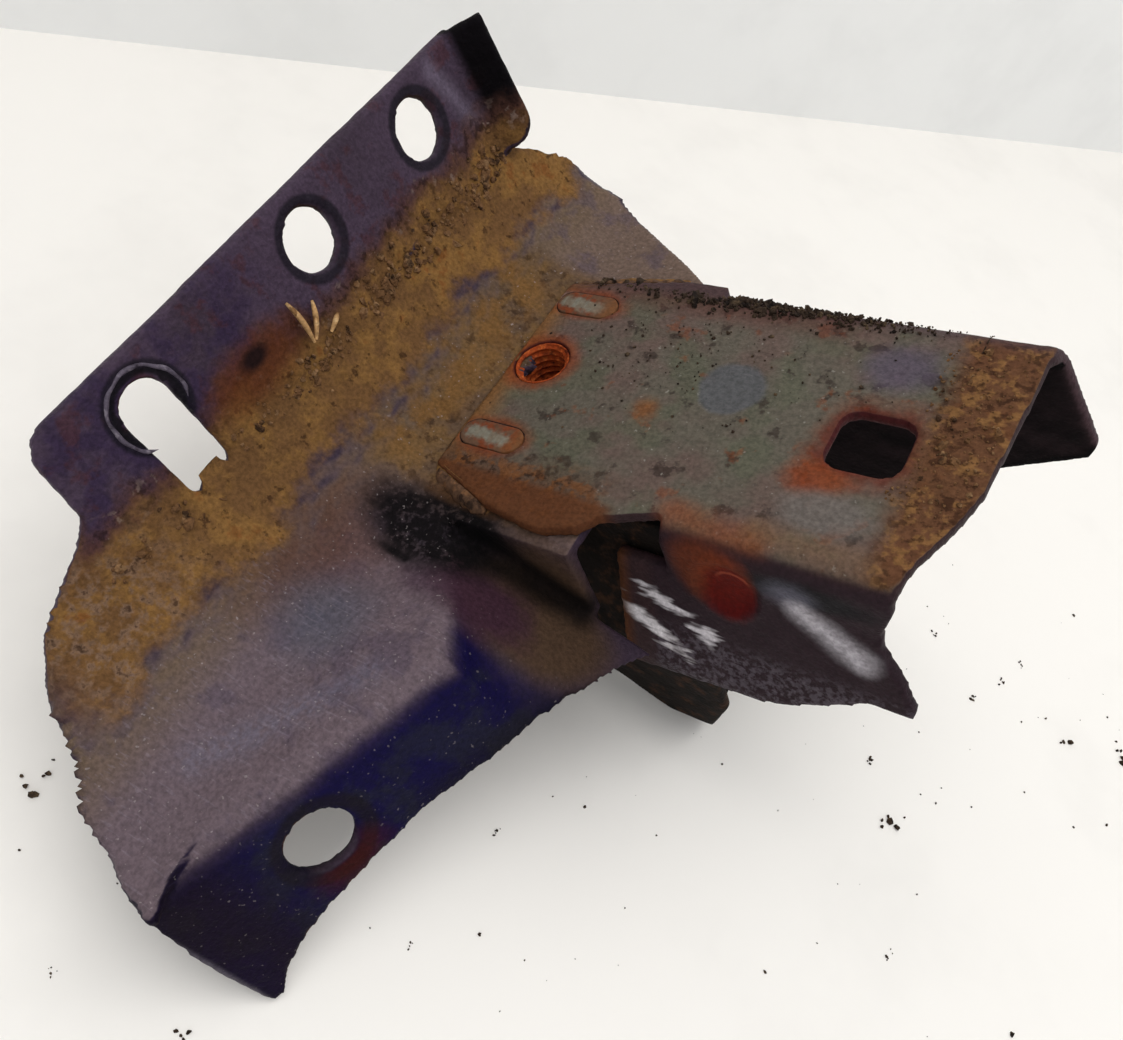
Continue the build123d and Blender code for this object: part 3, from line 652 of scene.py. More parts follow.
        # inner faces: painted shade, near black on the far wall's inner face and on faces that look down; a
        # pale strip is left along the far wall's lower edge
        inner = k.face_z.between(0.3, -0.1) * k.face_y.between(-0.2, -0.6) * k.y.between(30.0, 31.5)
        c.lay(tint(2, 1, 2), inner * 0.98, 0.95)
        c.lay(tint(4, 3, 4), k.face_z.between(-0.3, -0.7) * 0.96, 0.95)
        c.shade(grain.between(0.2, 0.8) * 0.5 + 0.72)
        return c.finish(bump=0.9, specular=0.1)


@dataclass(frozen=True)
class Rusted:
    """Rusty bare steel in one of several tones."""

    name: str
    base: Colour
    bright: Colour
    dark: Colour
    size: float = 4.0
    rough: float = 0.85

    def build(self) -> Any:
        """Return the material."""
        c = Coats(self.name, self.base, self.rough)
        k = c.kit
        grain = grit(c, 0.7)
        c.lay(self.bright, k.noise(self.size, 4.0, seed=41).between(0.5, 0.64) * 0.85)
        c.lay(self.dark, k.noise(self.size * 1.4, 4.0, seed=42).between(0.52, 0.64) * 0.85, 0.9)
        c.shade(grain.between(0.2, 0.8) * 0.6 + 0.65)
        return c.finish(bump=0.9, specular=0.15)


@dataclass(frozen=True)
class GroundPlug:
    """Ground weld metal: pale and streaked, with an orange rim."""

    def build(self) -> Any:
        """Return the material."""
        c = Coats("plug_ground_metal", tint(118, 114, 101), 0.5)
        k = c.kit
        grain = grit(c, 0.4)
        c.lay(tint(112, 98, 82), k.noise(5.0, 3.0, seed=51, stretch=(0.4, 2.0, 1.0)).between(0.45, 0.6) * 0.8)
        for y in PLUG_YS:
            edge = k.stroke((PLUG_X - 5.5, y, 0.0), (PLUG_X + 3.5, y - 0.6, 0.0), 1.7, 1.6,
                            (k.noise(2.0, 2.0, seed=52) - 0.5) * 3)
            near = k.y.between(y - 6.0, y - 5.0) * k.y.between(y + 6.0, y + 5.0)
            c.lay(tint(92, 60, 40), near * (1 - edge) * 0.9, 0.85)
            c.lay(PAINTS.orange_rust,
                  near * (1 - edge) * k.noise(3.0, 3.0, seed=54).between(0.44, 0.58) * 0.8, 0.85)
            c.lay(tint(112, 70, 36),
                  near * (k.x + k.noise(4.0, 3.0, seed=53) * 6.0).between(-70.0, -66.0) * 0.8, 0.85)
        c.shade(grain.between(0.2, 0.8) * 0.4 + 0.8)
        return c.finish(metallic=0.2, bump=0.8, specular=0.3)


# ---- mesh building ------------------------------------------------------------------------------------
def grid_faces(rows: int, cols: int, wrap_rows: bool = False, wrap_cols: bool = False) -> np.ndarray:
    """Quads of a grid of points.

    Args:
        rows: points along the first parameter.
        cols: points along the second parameter.
        wrap_rows: join the last row to the first.
        wrap_cols: join the last column to the first.

    Returns:
        Four point numbers per face.
    """
    i = np.arange(rows if wrap_rows else rows - 1)[:, None]
    j = np.arange(cols if wrap_cols else cols - 1)[None, :]
    i2, j2 = (i + 1) % rows, (j + 1) % cols
    return np.stack([i * cols + j + 0 * i2, i2 * cols + j, i2 * cols + j2, i * cols + j2], -1).reshape(-1, 4)


def placed(name: str, data: Any) -> Any:
    """Add an object that carries a mesh, a light or a camera."""
    made = bpy.data.objects.new(name, data)
    bpy.context.collection.objects.link(made)
    return made


def piece(name: str, points: np.ndarray, faces: Sequence[Sequence[int]], material: Any,
          replaces: Sequence[str] = (), smooth: bool = True) -> Any:
    """Add one piece of the bracket.

    Args:
        name: the piece's name.
        points: its points, in millimetres.
        faces: point numbers of each face.
        material: its material.
        replaces: CAD nodes that it stands for.
        smooth: shade it smoothly.

    Returns:
        The new object.
    """
    mesh = bpy.data.meshes.new(name)
    mesh.from_pydata((np.asarray(points, float).reshape(-1, 3) * MM).tolist(), [],
                     [list(map(int, f)) for f in faces])
    mesh.materials.append(material)
    if smooth:
        mesh.shade_smooth()
    mesh.update()
    made = placed(name, mesh)
    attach(made, "root")
    if replaces:
        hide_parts(*replaces)
    LOG.info("%s: %d points, %d faces", name, len(mesh.vertices), len(mesh.polygons))
    return made


def value_noise(places: np.ndarray, seed: int, octaves: int = 4) -> np.ndarray:
    """Smooth noise at points, as a sum of sines along seeded directions.

    Each octave adds sin(d1.p + a1) * sin(d2.p + a2) with directions twice as long and half the height.

    Args:
        places: points, the last axis is X, Y, Z.
        seed: picks the directions.
        octaves: how many layers of finer noise.

    Returns:
        Numbers of about -1 to 1.
    """
    rng = np.random.default_rng(seed)
    total = np.zeros(places.shape[:-1])
    for octave in range(octaves):
        for _ in range(4):
            one, two = rng.normal(size=(2, 3))
            one *= 2.0 ** octave / np.linalg.norm(one)
            two *= 2.0 ** octave / np.linalg.norm(two)
            a, b = rng.uniform(0, 2 * math.pi, 2)
            total += np.sin(places @ one + a) * np.sin(places @ two + b) * 0.5 ** (octave + 1)
    return total / 2.0


def shell(top: np.ndarray, bottom: np.ndarray) -> tuple[np.ndarray, np.ndarray]:
    """Closed skin over two grids of points of the same shape, the top one seen from outside.

    Args:
        top: outer grid, rows by columns by XYZ.
        bottom: inner grid.

    Returns:
        The points and quads.
    """
    rows, cols = top.shape[:2]
    # the profile of each row runs over the top and back below, so the skin is one tube with two ends
    loop = np.concatenate([top, bottom[:, ::-1]], axis=1)
    faces = grid_faces(rows, 2 * cols, wrap_cols=True)
    j = np.arange(cols - 1)
    ends = []
    for row, flip in ((0, True), (rows - 1, False)):
        base = row * 2 * cols
        quad = np.stack([base + j, base + j + 1, base + 2 * cols - 2 - j, base + 2 * cols - 1 - j], -1)
        ends.append(quad[:, ::-1] if flip else quad)
    return loop.reshape(-1, 3), np.concatenate([faces, *ends])


def tube(path: np.ndarray, radii: np.ndarray, sides: int = 8) -> tuple[np.ndarray, list[list[int]]]:
    """Round rod along a path: each path point carries a circle across the path's direction.

    Args:
        path: points along the rod.
        radii: its radius at each point.
        sides: points round it.

    Returns:
        The points and faces, with the ends closed.
    """
    along = np.gradient(path, axis=0)
    along /= np.linalg.norm(along, axis=1, keepdims=True)
    side = np.cross(along, np.array([0.3, 0.2, 0.93]))
    side /= np.linalg.norm(side, axis=1, keepdims=True)
    up = np.cross(along, side)
    turn = np.linspace(0, 2 * math.pi, sides, endpoint=False)
    ring = side[:, None] * np.cos(turn)[None, :, None] + up[:, None] * np.sin(turn)[None, :, None]
    points = path[:, None] + ring * radii[:, None, None]
    faces = [list(f) for f in grid_faces(len(path), sides, wrap_cols=True)[:, ::-1]]
    last = (len(path) - 1) * sides
    faces.append(list(range(sides)))
    faces.append(list(range(last + sides - 1, last - 1, -1)))
    return points.reshape(-1, 3), faces


def pebbles(places: np.ndarray, sizes: np.ndarray, seed: int, flatness: float = 0.7) -> tuple[np.ndarray,
                                                                                              np.ndarray]:
    """Many small angular crumbs in one mesh.

    Each crumb is a grid of latitude and longitude whose radius is its size times 1 plus noise.

    Args:
        places: middle of each crumb.
        sizes: radius of each crumb.
        seed: picks their shapes.
        flatness: height over width.

    Returns:
        The points and faces.
    """
    rng = np.random.default_rng(seed)
    lats, lons, cap = 4, 6, 0.28
    lat = np.linspace(cap, math.pi - cap, lats)
    lon = np.linspace(0, 2 * math.pi, lons, endpoint=False)
    ball = np.stack([np.sin(lat)[:, None] * np.cos(lon), np.sin(lat)[:, None] * np.sin(lon),
                     np.cos(lat)[:, None] + 0 * lon], -1).reshape(-1, 3)
    poles = np.array([[0, 0, 0.9], [0, 0, -0.9]])
    ball = np.concatenate([ball, poles])
    count = len(places)
    rough = 1 + rng.uniform(-0.38, 0.38, (count, len(ball), 1))
    axes = np.linalg.qr(rng.normal(size=(count, 3, 3)))[0]
    axes *= np.sign(np.linalg.det(axes))[:, None, None]
    squash = np.stack([rng.uniform(0.75, 1.25, count), rng.uniform(0.75, 1.25, count),
                       np.full(count, flatness)], -1)
    points = np.einsum("nij,nkj->nki", axes, ball[None] * rough * squash[:, None]) * sizes[:, None, None]
    points += places[:, None]
    body = grid_faces(lats, lons, wrap_cols=True)
    north, south, last = lats * lons, lats * lons + 1, (lats - 1) * lons
    caps = [[north, a, (a + 1) % lons] for a in range(lons)]
    caps += [[south, last + (a + 1) % lons, last + a] for a in range(lons)]
    tris = np.concatenate([body[:, [0, 1, 2]], body[:, [0, 2, 3]], np.array(caps)])
    faces = (tris[None] + (np.arange(count) * len(ball))[:, None, None]).reshape(-1, 3)
    return points.reshape(-1, 3), faces


Shaper = Callable[[np.ndarray, np.ndarray], np.ndarray]


def weathered(node: str, name: str, voxel: float, relief: Shaper, material: Any) -> None:
    """Corroded copy of a CAD node, with worn round edges and real relief.

    The node's skin is merged, rebuilt on an even net, smoothed over its edges, and every point moves
    along its normal by the relief's height there.

    Args:
        node: the CAD node.
        name: the piece's name.
        voxel: size of the net, in millimetres.
        relief: height in millimetres from the points and normals.
        material: its material.
    """
    net = bmesh.new()
    net.from_mesh(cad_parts[node].data)
    bmesh.ops.remove_doubles(net, verts=net.verts, dist=MERGE)
    source = bpy.data.meshes.new(name + "_source")
    net.to_mesh(source)
    net.free()
    holder = placed(name + "_source", source)
    remesh = holder.modifiers.new("net", "REMESH")
    remesh.mode = "VOXEL"
    remesh.voxel_size = voxel * MM
    soften = holder.modifiers.new("worn", "SMOOTH")
    soften.factor = WEAR
    soften.iterations = WEAR_ROUNDS
    graph = bpy.context.evaluated_depsgraph_get()
    mesh = bpy.data.meshes.new_from_object(holder.evaluated_get(graph))
    bpy.data.objects.remove(holder)
    count = len(mesh.vertices)
    points, normals = np.zeros(count * 3), np.zeros(count * 3)
    mesh.vertices.foreach_get("co", points)
    mesh.vertex_normals.foreach_get("vector", normals)
    points, normals = points.reshape(-1, 3) / MM, normals.reshape(-1, 3)
    low, high = (np.array(corner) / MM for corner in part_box(node))
    moved = np.clip(points + normals * relief(points, normals)[:, None], low, high)
    mesh.vertices.foreach_set("co", (moved * MM).ravel())
    mesh.materials.clear()
    mesh.materials.append(material)
    mesh.shade_smooth()
    mesh.update()
    mesh.name = name
    made = placed(name, mesh)
    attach(made, "root")
    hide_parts(node)
    LOG.info("%s: %d points, %d faces", name, count, len(mesh.polygons))


def dress(node: str, material: Any) -> None:
    """Give a CAD node a finish in all its material slots."""
    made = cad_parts[node]
    for place in made.material_slots:
        place.material = material
    if not made.material_slots:
        made.data.materials.append(material)
    LOG.info("%s: dressed in %s", node, material.name)


def step(values: np.ndarray, low: float, high: float) -> np.ndarray:
    """Smooth step from 0 at low to 1 at high; low may be the larger."""
    t = np.clip((values - low) / (high - low), 0, 1)
    return t * t * (3 - 2 * t)


# ---- sub-assemblies -----------------------------------------------------------------------------------
@dataclass
class Sheet:
    """One folded sheet: a corroded copy of its CAD node."""

    node: str
    slot: Slot
    voxel: float

    def relief(self, points: np.ndarray, normals: np.ndarray) -> np.ndarray:
        """Height of the relief in millimetres; a plain sheet has none."""
        return np.zeros(len(points))

    def build(self, material: Any) -> None:
        """Dress the CAD node and put the corroded copy in its place."""
        dress(self.node, material)
        weathered(self.node, self.node + "_worn", self.voxel, self.relief, material)


@dataclass
class MountingPlate(Sheet):
    """Flange, valley, web and skirt."""

    def fill(self, points: np.ndarray, normals: np.ndarray) -> np.ndarray:
        """Thickness of the dirt that rounds the valley out from the bend's radius to a wider one.

        Both arcs touch the flange's line and the web's line. From each point the fill runs along the normal
        to the wider arc: the nearer root of |point + t normal - centre| = radius, where it meets that arc.
        """
        x, y, z = points.T
        corner_z = np.interp(y, [-136, -71, -58, -41], [4.1, 1.0, -2.0, -3.0])
        corner_x = FLANGE_BASE_X - corner_z * math.tan(FLANGE_LEAN)
        half = (math.pi / 2 + FLANGE_LEAN) / 2
        radius = 34.0
        reach = radius / math.sin(half)
        to = np.stack([x - (corner_x + reach * math.cos(half)), z - (corner_z + reach * math.sin(half))], -1)
        n = normals[:, [0, 2]]
        length = np.linalg.norm(n, axis=1, keepdims=True)
        n = n / np.maximum(length, 1e-6)
        b = (to * n).sum(1)
        inside = b * b - (to * to).sum(1) + radius ** 2
        away = np.linalg.norm(to, axis=1) - radius
        t = -b - np.sqrt(np.clip(inside, 0, None))
        facing = step(normals[:, 0] + normals[:, 2], 0.85, 1.0) * step(length[:, 0], 0.9, 0.98)
        along = np.degrees(np.arctan2(-to[:, 0], -to[:, 1]))
        arc = (along > -2) & (along < 81) & (away > 0) & (away < 8)
        return np.where(arc, np.clip(t, 0, 5.5), 0) * facing

    def relief(self, points: np.ndarray, normals: np.ndarray) -> np.ndarray:
        """Relief of the mounting plate.

        Pits and waves all over; on the front of the valley a crust, which is broad noise plus grains times
        a ragged window; gravel lumps above the valley; and the dirt that fills the valley out.
        """
        x, y, z = points.T
        pits = 0.07 * value_noise(points / 1.2, 31, 3) + 0.10 * value_noise(points / 3.0, 32, 3)
        waves = 0.30 * value_noise(points / 16.0, 33, 2)
        front = step(normals[:, 0] + normals[:, 2], 0.5, 0.95)
        ragged = 9.0 * value_noise(points / 11.0, 34, 4)
        window = step(x + ragged * 0.6, -79, -91) * step(z + ragged * 0.35, 27, 17) * front
        window *= step(y + ragged * 0.5, -122, -108) * step(z, -4.5, -3.2)
        fill = self.fill(points, normals) * step(y, 66, 60)
        crust = 0.25 + 0.35 * value_noise(points / 4.5, 35, 4) + 0.25 * value_noise(points / 1.6, 36, 2)
        gravel = (step(z, 14, 18) * step(z, 31, 24) * step(x, -98, -102) * front * step(y, -52, -44)
                  * step(y, 47, 38))
        lumps = np.clip(value_noise(points / 2.3, 37, 3), 0, 1)
        return fill + pits * (1 - 0.4 * window) + waves + window * np.clip(crust, 0,
                                                                           1.2) + gravel * 1.1 * lumps


@dataclass
class SupportArm(Sheet):
    """Channel arm with its tongue."""

    def relief(self, points: np.ndarray, normals: np.ndarray) -> np.ndarray:
        """Relief of the arm: pits and waves, smooth patches, a dimple, and a crust at the tongue's root."""
        x, y, z = points.T
        calm = step(np.hypot(x - PATCH_XY[0], y - PATCH_XY[1]) + np.abs(z), 5.5, 8.0)
        pits = 0.06 * value_noise(points / 1.1, 41, 3) + 0.09 * value_noise(points / 2.8, 42, 3)
        waves = 0.26 * value_noise(points / 15.0, 43, 2)
        top = step(normals[:, 2], 0.6, 0.95) * step(z, -2.5, -1.0)
        ragged = 6.0 * value_noise(points / 8.0, 44, 4)
        root = step(x + ragged * 0.5, -80.5, -84.0) * top
        end = step(x + ragged * 0.3, 5.0, 12.0) * top
        grain = np.clip(value_noise(points / 1.7, 45, 3) + 0.1, 0, 1)
        away = np.sqrt((x - DIMPLE[0]) ** 2 + (y - DIMPLE[1]) ** 2 + (z - DIMPLE[2]) ** 2)
        dimple = -0.9 * step(away, 8.0, 4.5) * step(normals[:, 1], -0.3, -0.8)
        ring = 0.35 * step(np.abs(away - 8.0), 1.6, 0.2) * step(normals[:, 1], -0.3, -0.8)
        return (pits * calm + waves + root * (0.25 + 0.3 * grain) + end * (0.08 + 0.3 * grain)
                + dimple + ring - 0.22 * (1 - calm) * top)


@dataclass
class Trough(Sheet):
    """Small channel under the near side."""

    def relief(self, points: np.ndarray, normals: np.ndarray) -> np.ndarray:
        """Fine pits and slow waves."""
        return 0.08 * value_noise(points / 1.4, 51, 3) + 0.2 * value_noise(points / 9.0, 52, 3)


@dataclass
class Dirt:
    """Dirt packed along the tongue's edge, with crumbs, straws and grit on the sheet."""

    valley_r: float = 20.0
    web_z: float = -3.0
    valley_grains: int = 420
    edge_grains: int = 900
    top_grains: int = 240
    end_grains: int = 260

    def valley_point(self, s: np.ndarray) -> np.ndarray:
        """Section of the valley: flange, arc, web, by the distance along it from the arc's lower end.

        Args:
            s: distance up the section, negative on the web.

        Returns:
            XZ points on the sheet.
        """
        turn = math.pi / 2 - FLANGE_LEAN
        reach = self.valley_r * math.tan(turn / 2)
        foot_x = FLANGE_BASE_X - self.web_z * math.tan(FLANGE_LEAN)
        start = foot_x + reach
        angle = np.clip(s / self.valley_r, 0, turn)
        x = start - self.valley_r * np.sin(angle)
        z = self.web_z + self.valley_r * (1 - np.cos(angle))
        beyond = np.clip(s - self.valley_r * turn, 0, None)
        x = x - beyond * math.sin(FLANGE_LEAN) - np.clip(s, None, 0)
        z = z + beyond * math.cos(FLANGE_LEAN)
        return np.stack([x, z], -1)

    def mound(self, material: Any) -> None:
        """Rust and dirt packed against the tongue's edge.

        A concave fillet runs along the edge: its top meets the tongue and its foot spreads over the
        web, and its reach and height wander with noise.
        """
        edge = np.array([(-55.0, 36.2), (-66.0, 33.8), (-78.0, 30.9), (-84.6, 28.6), (-85.6, 24.0),
                         (-85.2, 8.0),
                         (-85.4, -8.0), (-85.6, -24.0), (-85.0, -31.2), (-80.0, -33.4), (-70.0, -36.4),
                         (-66.0, -37.6)])
        run = np.concatenate([[0], np.cumsum(np.linalg.norm(np.diff(edge, axis=0), axis=1))])
        steps, across, blur = 300, 26, 13
        u = np.linspace(0, run[-1], steps)
        path = np.stack([np.interp(u, run, edge[:, k]) for k in range(2)], -1)
        kernel = np.ones(blur) / blur
        padded = np.pad(path, ((blur // 2, blur // 2), (0, 0)), mode="edge")
        path = np.stack([np.convolve(padded[:, k], kernel, mode="valid") for k in range(2)], -1)
        along = np.gradient(path, axis=0)
        along /= np.linalg.norm(along, axis=1, keepdims=True)
        out = np.stack([along[:, 1], -along[:, 0]], -1)
        out *= np.sign((out * (path - np.array([-60.0, 0.0]))).sum(1))[:, None]
        v = np.linspace(0, 1, across)
        flat = np.concatenate([path, np.zeros((steps, 1))], 1)
        wander = 1 + 0.30 * value_noise(flat / 6.0, 61, 3)
        near = step(path[:, 1], -30.0, -36.0) * step(path[:, 0], -84.0, -78.0)
        reach = (7.5 - 4.5 * near) * wander
        places = np.zeros((steps, across, 3))
        places[..., :2] = path[:, None] + out[:, None] * (v[None] * reach[:, None] - 1.6)[..., None]
        fine = 0.30 * value_noise(places / 2.2, 62, 4) * np.sin(v * math.pi)[None]
        lift = (1 - v) ** 1.8 * 3.25
        ends = np.clip(np.minimum(u, run[-1] - u) / 6.0, 0, 1)[:, None] ** 0.5
        places[..., 2] = -3.25 + (lift[None] + fine) * ends
        bottom = places.copy()
        bottom[..., 2] = -4.4
        points, faces = shell(places, bottom)
        fix_facing(piece("packed_edge_rust", points, faces, material))

    def crumbs(self, material: Any, dark: Any) -> None:
        """Loose grains on the valley, the web, the tongue and the arm's far edge."""
        rng = np.random.default_rng(11)
        n = self.valley_grains
        y = rng.uniform(-92, 44, n)
        y = np.concatenate([y[: n // 3], np.clip(rng.normal(0, 26, n - n // 3), -90, 44)])
        s = rng.normal(37, 2.6, n)
        section = self.valley_point(s)
        valley = np.stack([section[:, 0] + 0.2, y, section[:, 1] + 0.1], -1)
        valley = valley[(np.abs(y - BOLT_YS[2]) > 7.5) | (valley[:, 2] < SLOT_LOW - 3.0)]
        size_v = rng.gamma(2.0, 0.22, len(valley)) + 0.2
        m = self.edge_grains
        x = np.clip(rng.normal(-34, 20, m), -76, 12)
        far = np.stack([x, 31.5 + rng.normal(0, 1.8, m), np.zeros(m) + 0.1], -1)
        far[:, 1] = np.clip(far[:, 1], 24, 35)
        far[:, 2] = -np.clip(far[:, 1] - 29.5, 0, 6) ** 2 / 11 + 0.2
        size_f = rng.gamma(2.0, 0.12, m) * np.interp(x, [-74, -45, -15, 8], [1.1, 1.2, 0.9, 0.3]) + 0.1
        q = self.top_grains
        top = np.stack([rng.normal(-44, 16, q), rng.normal(12, 9, q), np.full(q, 0.1)], -1)
        keep = np.hypot(top[:, 0] - PATCH_XY[0], top[:, 1] - PATCH_XY[1]) > PATCH_CLEAR
        keep &= np.hypot(top[:, 0] - THREAD_XY[0], top[:, 1] - THREAD_XY[1]) > HOLE_CLEAR
        keep &= (np.abs(top[:, 1]) < 27) & (np.abs(top[:, :2]).max(axis=1) > HOLE_CLEAR)
        top = top[keep]
        size_t = rng.gamma(1.6, 0.08, len(top)) + 0.06
        e = self.end_grains
        end = np.stack([rng.uniform(6, 21, e), rng.uniform(-14, 28, e), np.full(e, 0.1)], -1)
        end = end[end[:, 0] < np.interp(end[:, 1], [-14, -5, 10, 28], [18, 21, 22, 23])]
        end = end[np.abs(end[:, :2]).max(axis=1) > HOLE_CLEAR]
        size_e = rng.gamma(1.8, 0.11, len(end)) + 0.08
        points, faces = pebbles(np.concatenate([valley, end]), np.concatenate([size_v, size_e]), 21)
        piece("brown_grit", points, faces, material, smooth=False)
        points, faces = pebbles(np.concatenate([far, top]), np.concatenate([size_f, size_t]), 22)
        piece("black_grit", points, faces, dark, smooth=False)

    def straws(self, material: Any) -> None:
        """Dry stalks caught at the top of the valley: bowed rods that taper to both ends."""
        ends = [
            (flange_place(-22.5, 34.5, 1.4), flange_place(-27.6, 28.5, 2.2)),
            (flange_place(-27.5, 38.0, 1.2), flange_place(-28.2, 28.3, 2.0)),
            (flange_place(-19.5, 28.5, 1.4), flange_place(-23.5, 27.0, 1.8)),
        ]
        all_points, all_faces, base = [], [], 0
        t = np.linspace(0, 1, 12)[:, None]
        for k, (a, b) in enumerate(ends):
            a, b = np.array(a), np.array(b)
            bow = np.sin(t * math.pi) * np.array([0.5, 0.3, 0.4 + 0.1 * k])
            points, faces = tube(a + (b - a) * t + bow, 0.62 * (0.5 + np.sin(t[:, 0] * math.pi) * 0.5))
            all_points.append(points)
            all_faces += [[v + base for v in f] for f in faces]
            base += len(points)
        piece("dry_straws", np.concatenate(all_points), all_faces, material)


@dataclass
class Welds:
    """Nut with its thread, the two plug welds and the seam beads."""

    pitch: float = 1.75
    crest_r: float = 5.1
    root_r: float = 6.0
    collar_r: float = 6.42
    half_flats: float = 10.5
    corner_r: float = 11.9
    chamfer: float = 0.94
    collar_top: float = -0.5
    nut_top: float = -6.05
    edge_top: float = -6.9
    edge_foot: float = -15.1
    nut_foot: float = -16.0

    def nut(self, material: Any) -> None:
        """Hexagon nut with a collar and a true helical thread.

        The bore's radius at turn a and height z is crest plus (root - crest) times the thread's
        profile at the fractional part of z / pitch - a / full turn.
        """
        turns, sides = 120, 96
        a = np.linspace(0, 2 * math.pi, sides, endpoint=False)
        z = np.linspace(self.nut_foot, self.collar_top, turns)
        phase = (z[:, None] / self.pitch - a[None, :] / (2 * math.pi)) % 1.0
        ridge = np.clip(np.abs(phase - 0.5) * 2.6 - 0.25, 0, 1)
        lead = np.clip(np.minimum(z - self.nut_foot, self.collar_top - z), 0, 1)[:, None]
        radius = self.crest_r + (self.root_r - self.crest_r) * (1 - ridge * lead)
        bore = np.stack([radius * np.cos(a), radius * np.sin(a), z[:, None] + 0 * a], -1)
        third = math.pi / 3
        flat = self.half_flats / np.cos((a + third / 2) % third - third / 2)
        hexagon = np.minimum(flat, self.corner_r)
        collar, bevel = np.full(sides, self.collar_r), hexagon * self.chamfer
        outer = []
        for r, height in ((collar, self.collar_top), (collar, self.nut_top), (bevel, self.nut_top),
                          (hexagon, self.edge_top), (hexagon, self.edge_foot), (bevel, self.nut_foot)):
            outer.append(np.stack([r * np.cos(a), r * np.sin(a), np.full(sides, height)], -1))
        rings = np.concatenate([bore, np.array(outer)])
        rings += np.array([*THREAD_XY, 0.0])
        faces = grid_faces(len(rings), sides, wrap_rows=True, wrap_cols=True)
        piece("weld_nut_threaded", rings.reshape(-1, 3), faces, material, ["weld_nut"])

    def plugs(self, material: Any) -> None:
        """Ground plugs: round-ended slots filled with metal, slightly domed and rippled."""
        around, rows = 72, 26
        for y, node in zip(PLUG_YS, ("plug_weld_near", "plug_weld_far")):
            a = np.linspace(0, 2 * math.pi, around, endpoint=False)
            end = np.stack([np.sign(np.cos(a)) * PLUG_RUN / 2 + PLUG_HALF * np.cos(a),
                            PLUG_HALF * np.sin(a)], -1)
            f = np.linspace(0.02, 1, rows)
            flat = end[None] * f[:, None, None]
            spread = np.concatenate([flat, np.zeros((rows, around, 1))], -1) + np.array([PLUG_X, y, 0.0])
            ripple = 0.08 * value_noise(spread / 2.4, 7)
            spread[..., 2] = (0.12 + ripple) * (1 - f[:, None] ** 6) - 0.05 * f[:, None] ** 6
            low = spread[-1:].copy()
            low[..., 2] = -SHEET
            hub = low.copy()
            hub[..., :2] = hub[..., :2] * 0.02 + np.array([PLUG_X, y]) * 0.98
            rings = np.concatenate([spread, low, hub])
            faces = [list(q) for q in grid_faces(len(rings), around, wrap_cols=True)]
            faces.append(list(range(around)))
            last = (len(rings) - 1) * around
            faces.append(list(range(last, last + around))[::-1])
            piece(node + "_ground", rings.reshape(-1, 3), faces, material, [node])

    def bead(self, name: str, node: str, start: Triple, end: Triple, sideways: Triple, down: Triple,
             leg: float, material: Any) -> None:
        """Rippled fillet bead.

        The bead's section is a quarter round between the sideways and down legs; its size swells and
        shrinks along the run like overlapping scales, which bow toward the run's end.

        Args:
            name: the piece's name.
            node: the CAD node that it stands for.
            start: start of the bead's inner corner.
            end: end of the corner.
            sideways: unit vector along the first leg.
            down: unit vector along the second leg.
            leg: length of the legs, in millimetres.
            material: its material.
        """
        a, b = np.array(start, float), np.array(end, float)
        length = np.linalg.norm(b - a)
        count = int(length / 0.45)
        t = np.linspace(0, 1, count)
        angle = np.linspace(0, math.pi / 2, 13)
        run = t[:, None] * length + 0.9 * np.cos(angle * 2 - math.pi / 2)[None, :]
        scale = 0.80 + 0.14 * np.abs(np.sin(run * math.pi / 2.9)) + 0.05 * np.sin(run * 0.7)
        taper = np.clip(np.minimum(t, 1 - t) * length / 2.5, 0.12, 1)[:, None] ** 0.5
        radius = leg * np.minimum(scale, 0.99) * taper
        arc = (np.cos(angle)[None, :, None] * np.array(sideways) + np.sin(angle)[None, :, None]
               * np.array(down))
        places = a + (b - a) * t[:, None, None] + arc * radius[..., None]
        corner = (a + (b - a) * t[:, None])[:, None]
        rings = np.concatenate([places, corner], axis=1)
        cols = rings.shape[1]
        faces = [list(q) for q in grid_faces(count, cols, wrap_cols=True)]
        faces.append(list(range(cols)))
        faces.append(list(range(count * cols - 1, (count - 1) * cols - 1, -1)))
        made = piece(name, rings.reshape(-1, 3), faces, material, [node])
        fix_facing(made)


def fix_facing(made: Any) -> None:
    """Turn the faces of a closed piece outwards by the sign of its volume."""
    mesh = made.data
    mesh.calc_loop_triangles()
    tri = np.zeros(len(mesh.loop_triangles) * 3, int)
    mesh.loop_triangles.foreach_get("vertices", tri)
    co = np.zeros(len(mesh.vertices) * 3)
    mesh.vertices.foreach_get("co", co)
    p = co.reshape(-1, 3)[tri.reshape(-1, 3)]
    if np.einsum("ij,ij->i", p[:, 0], np.cross(p[:, 1], p[:, 2])).sum() < 0:
        mesh.flip_normals()


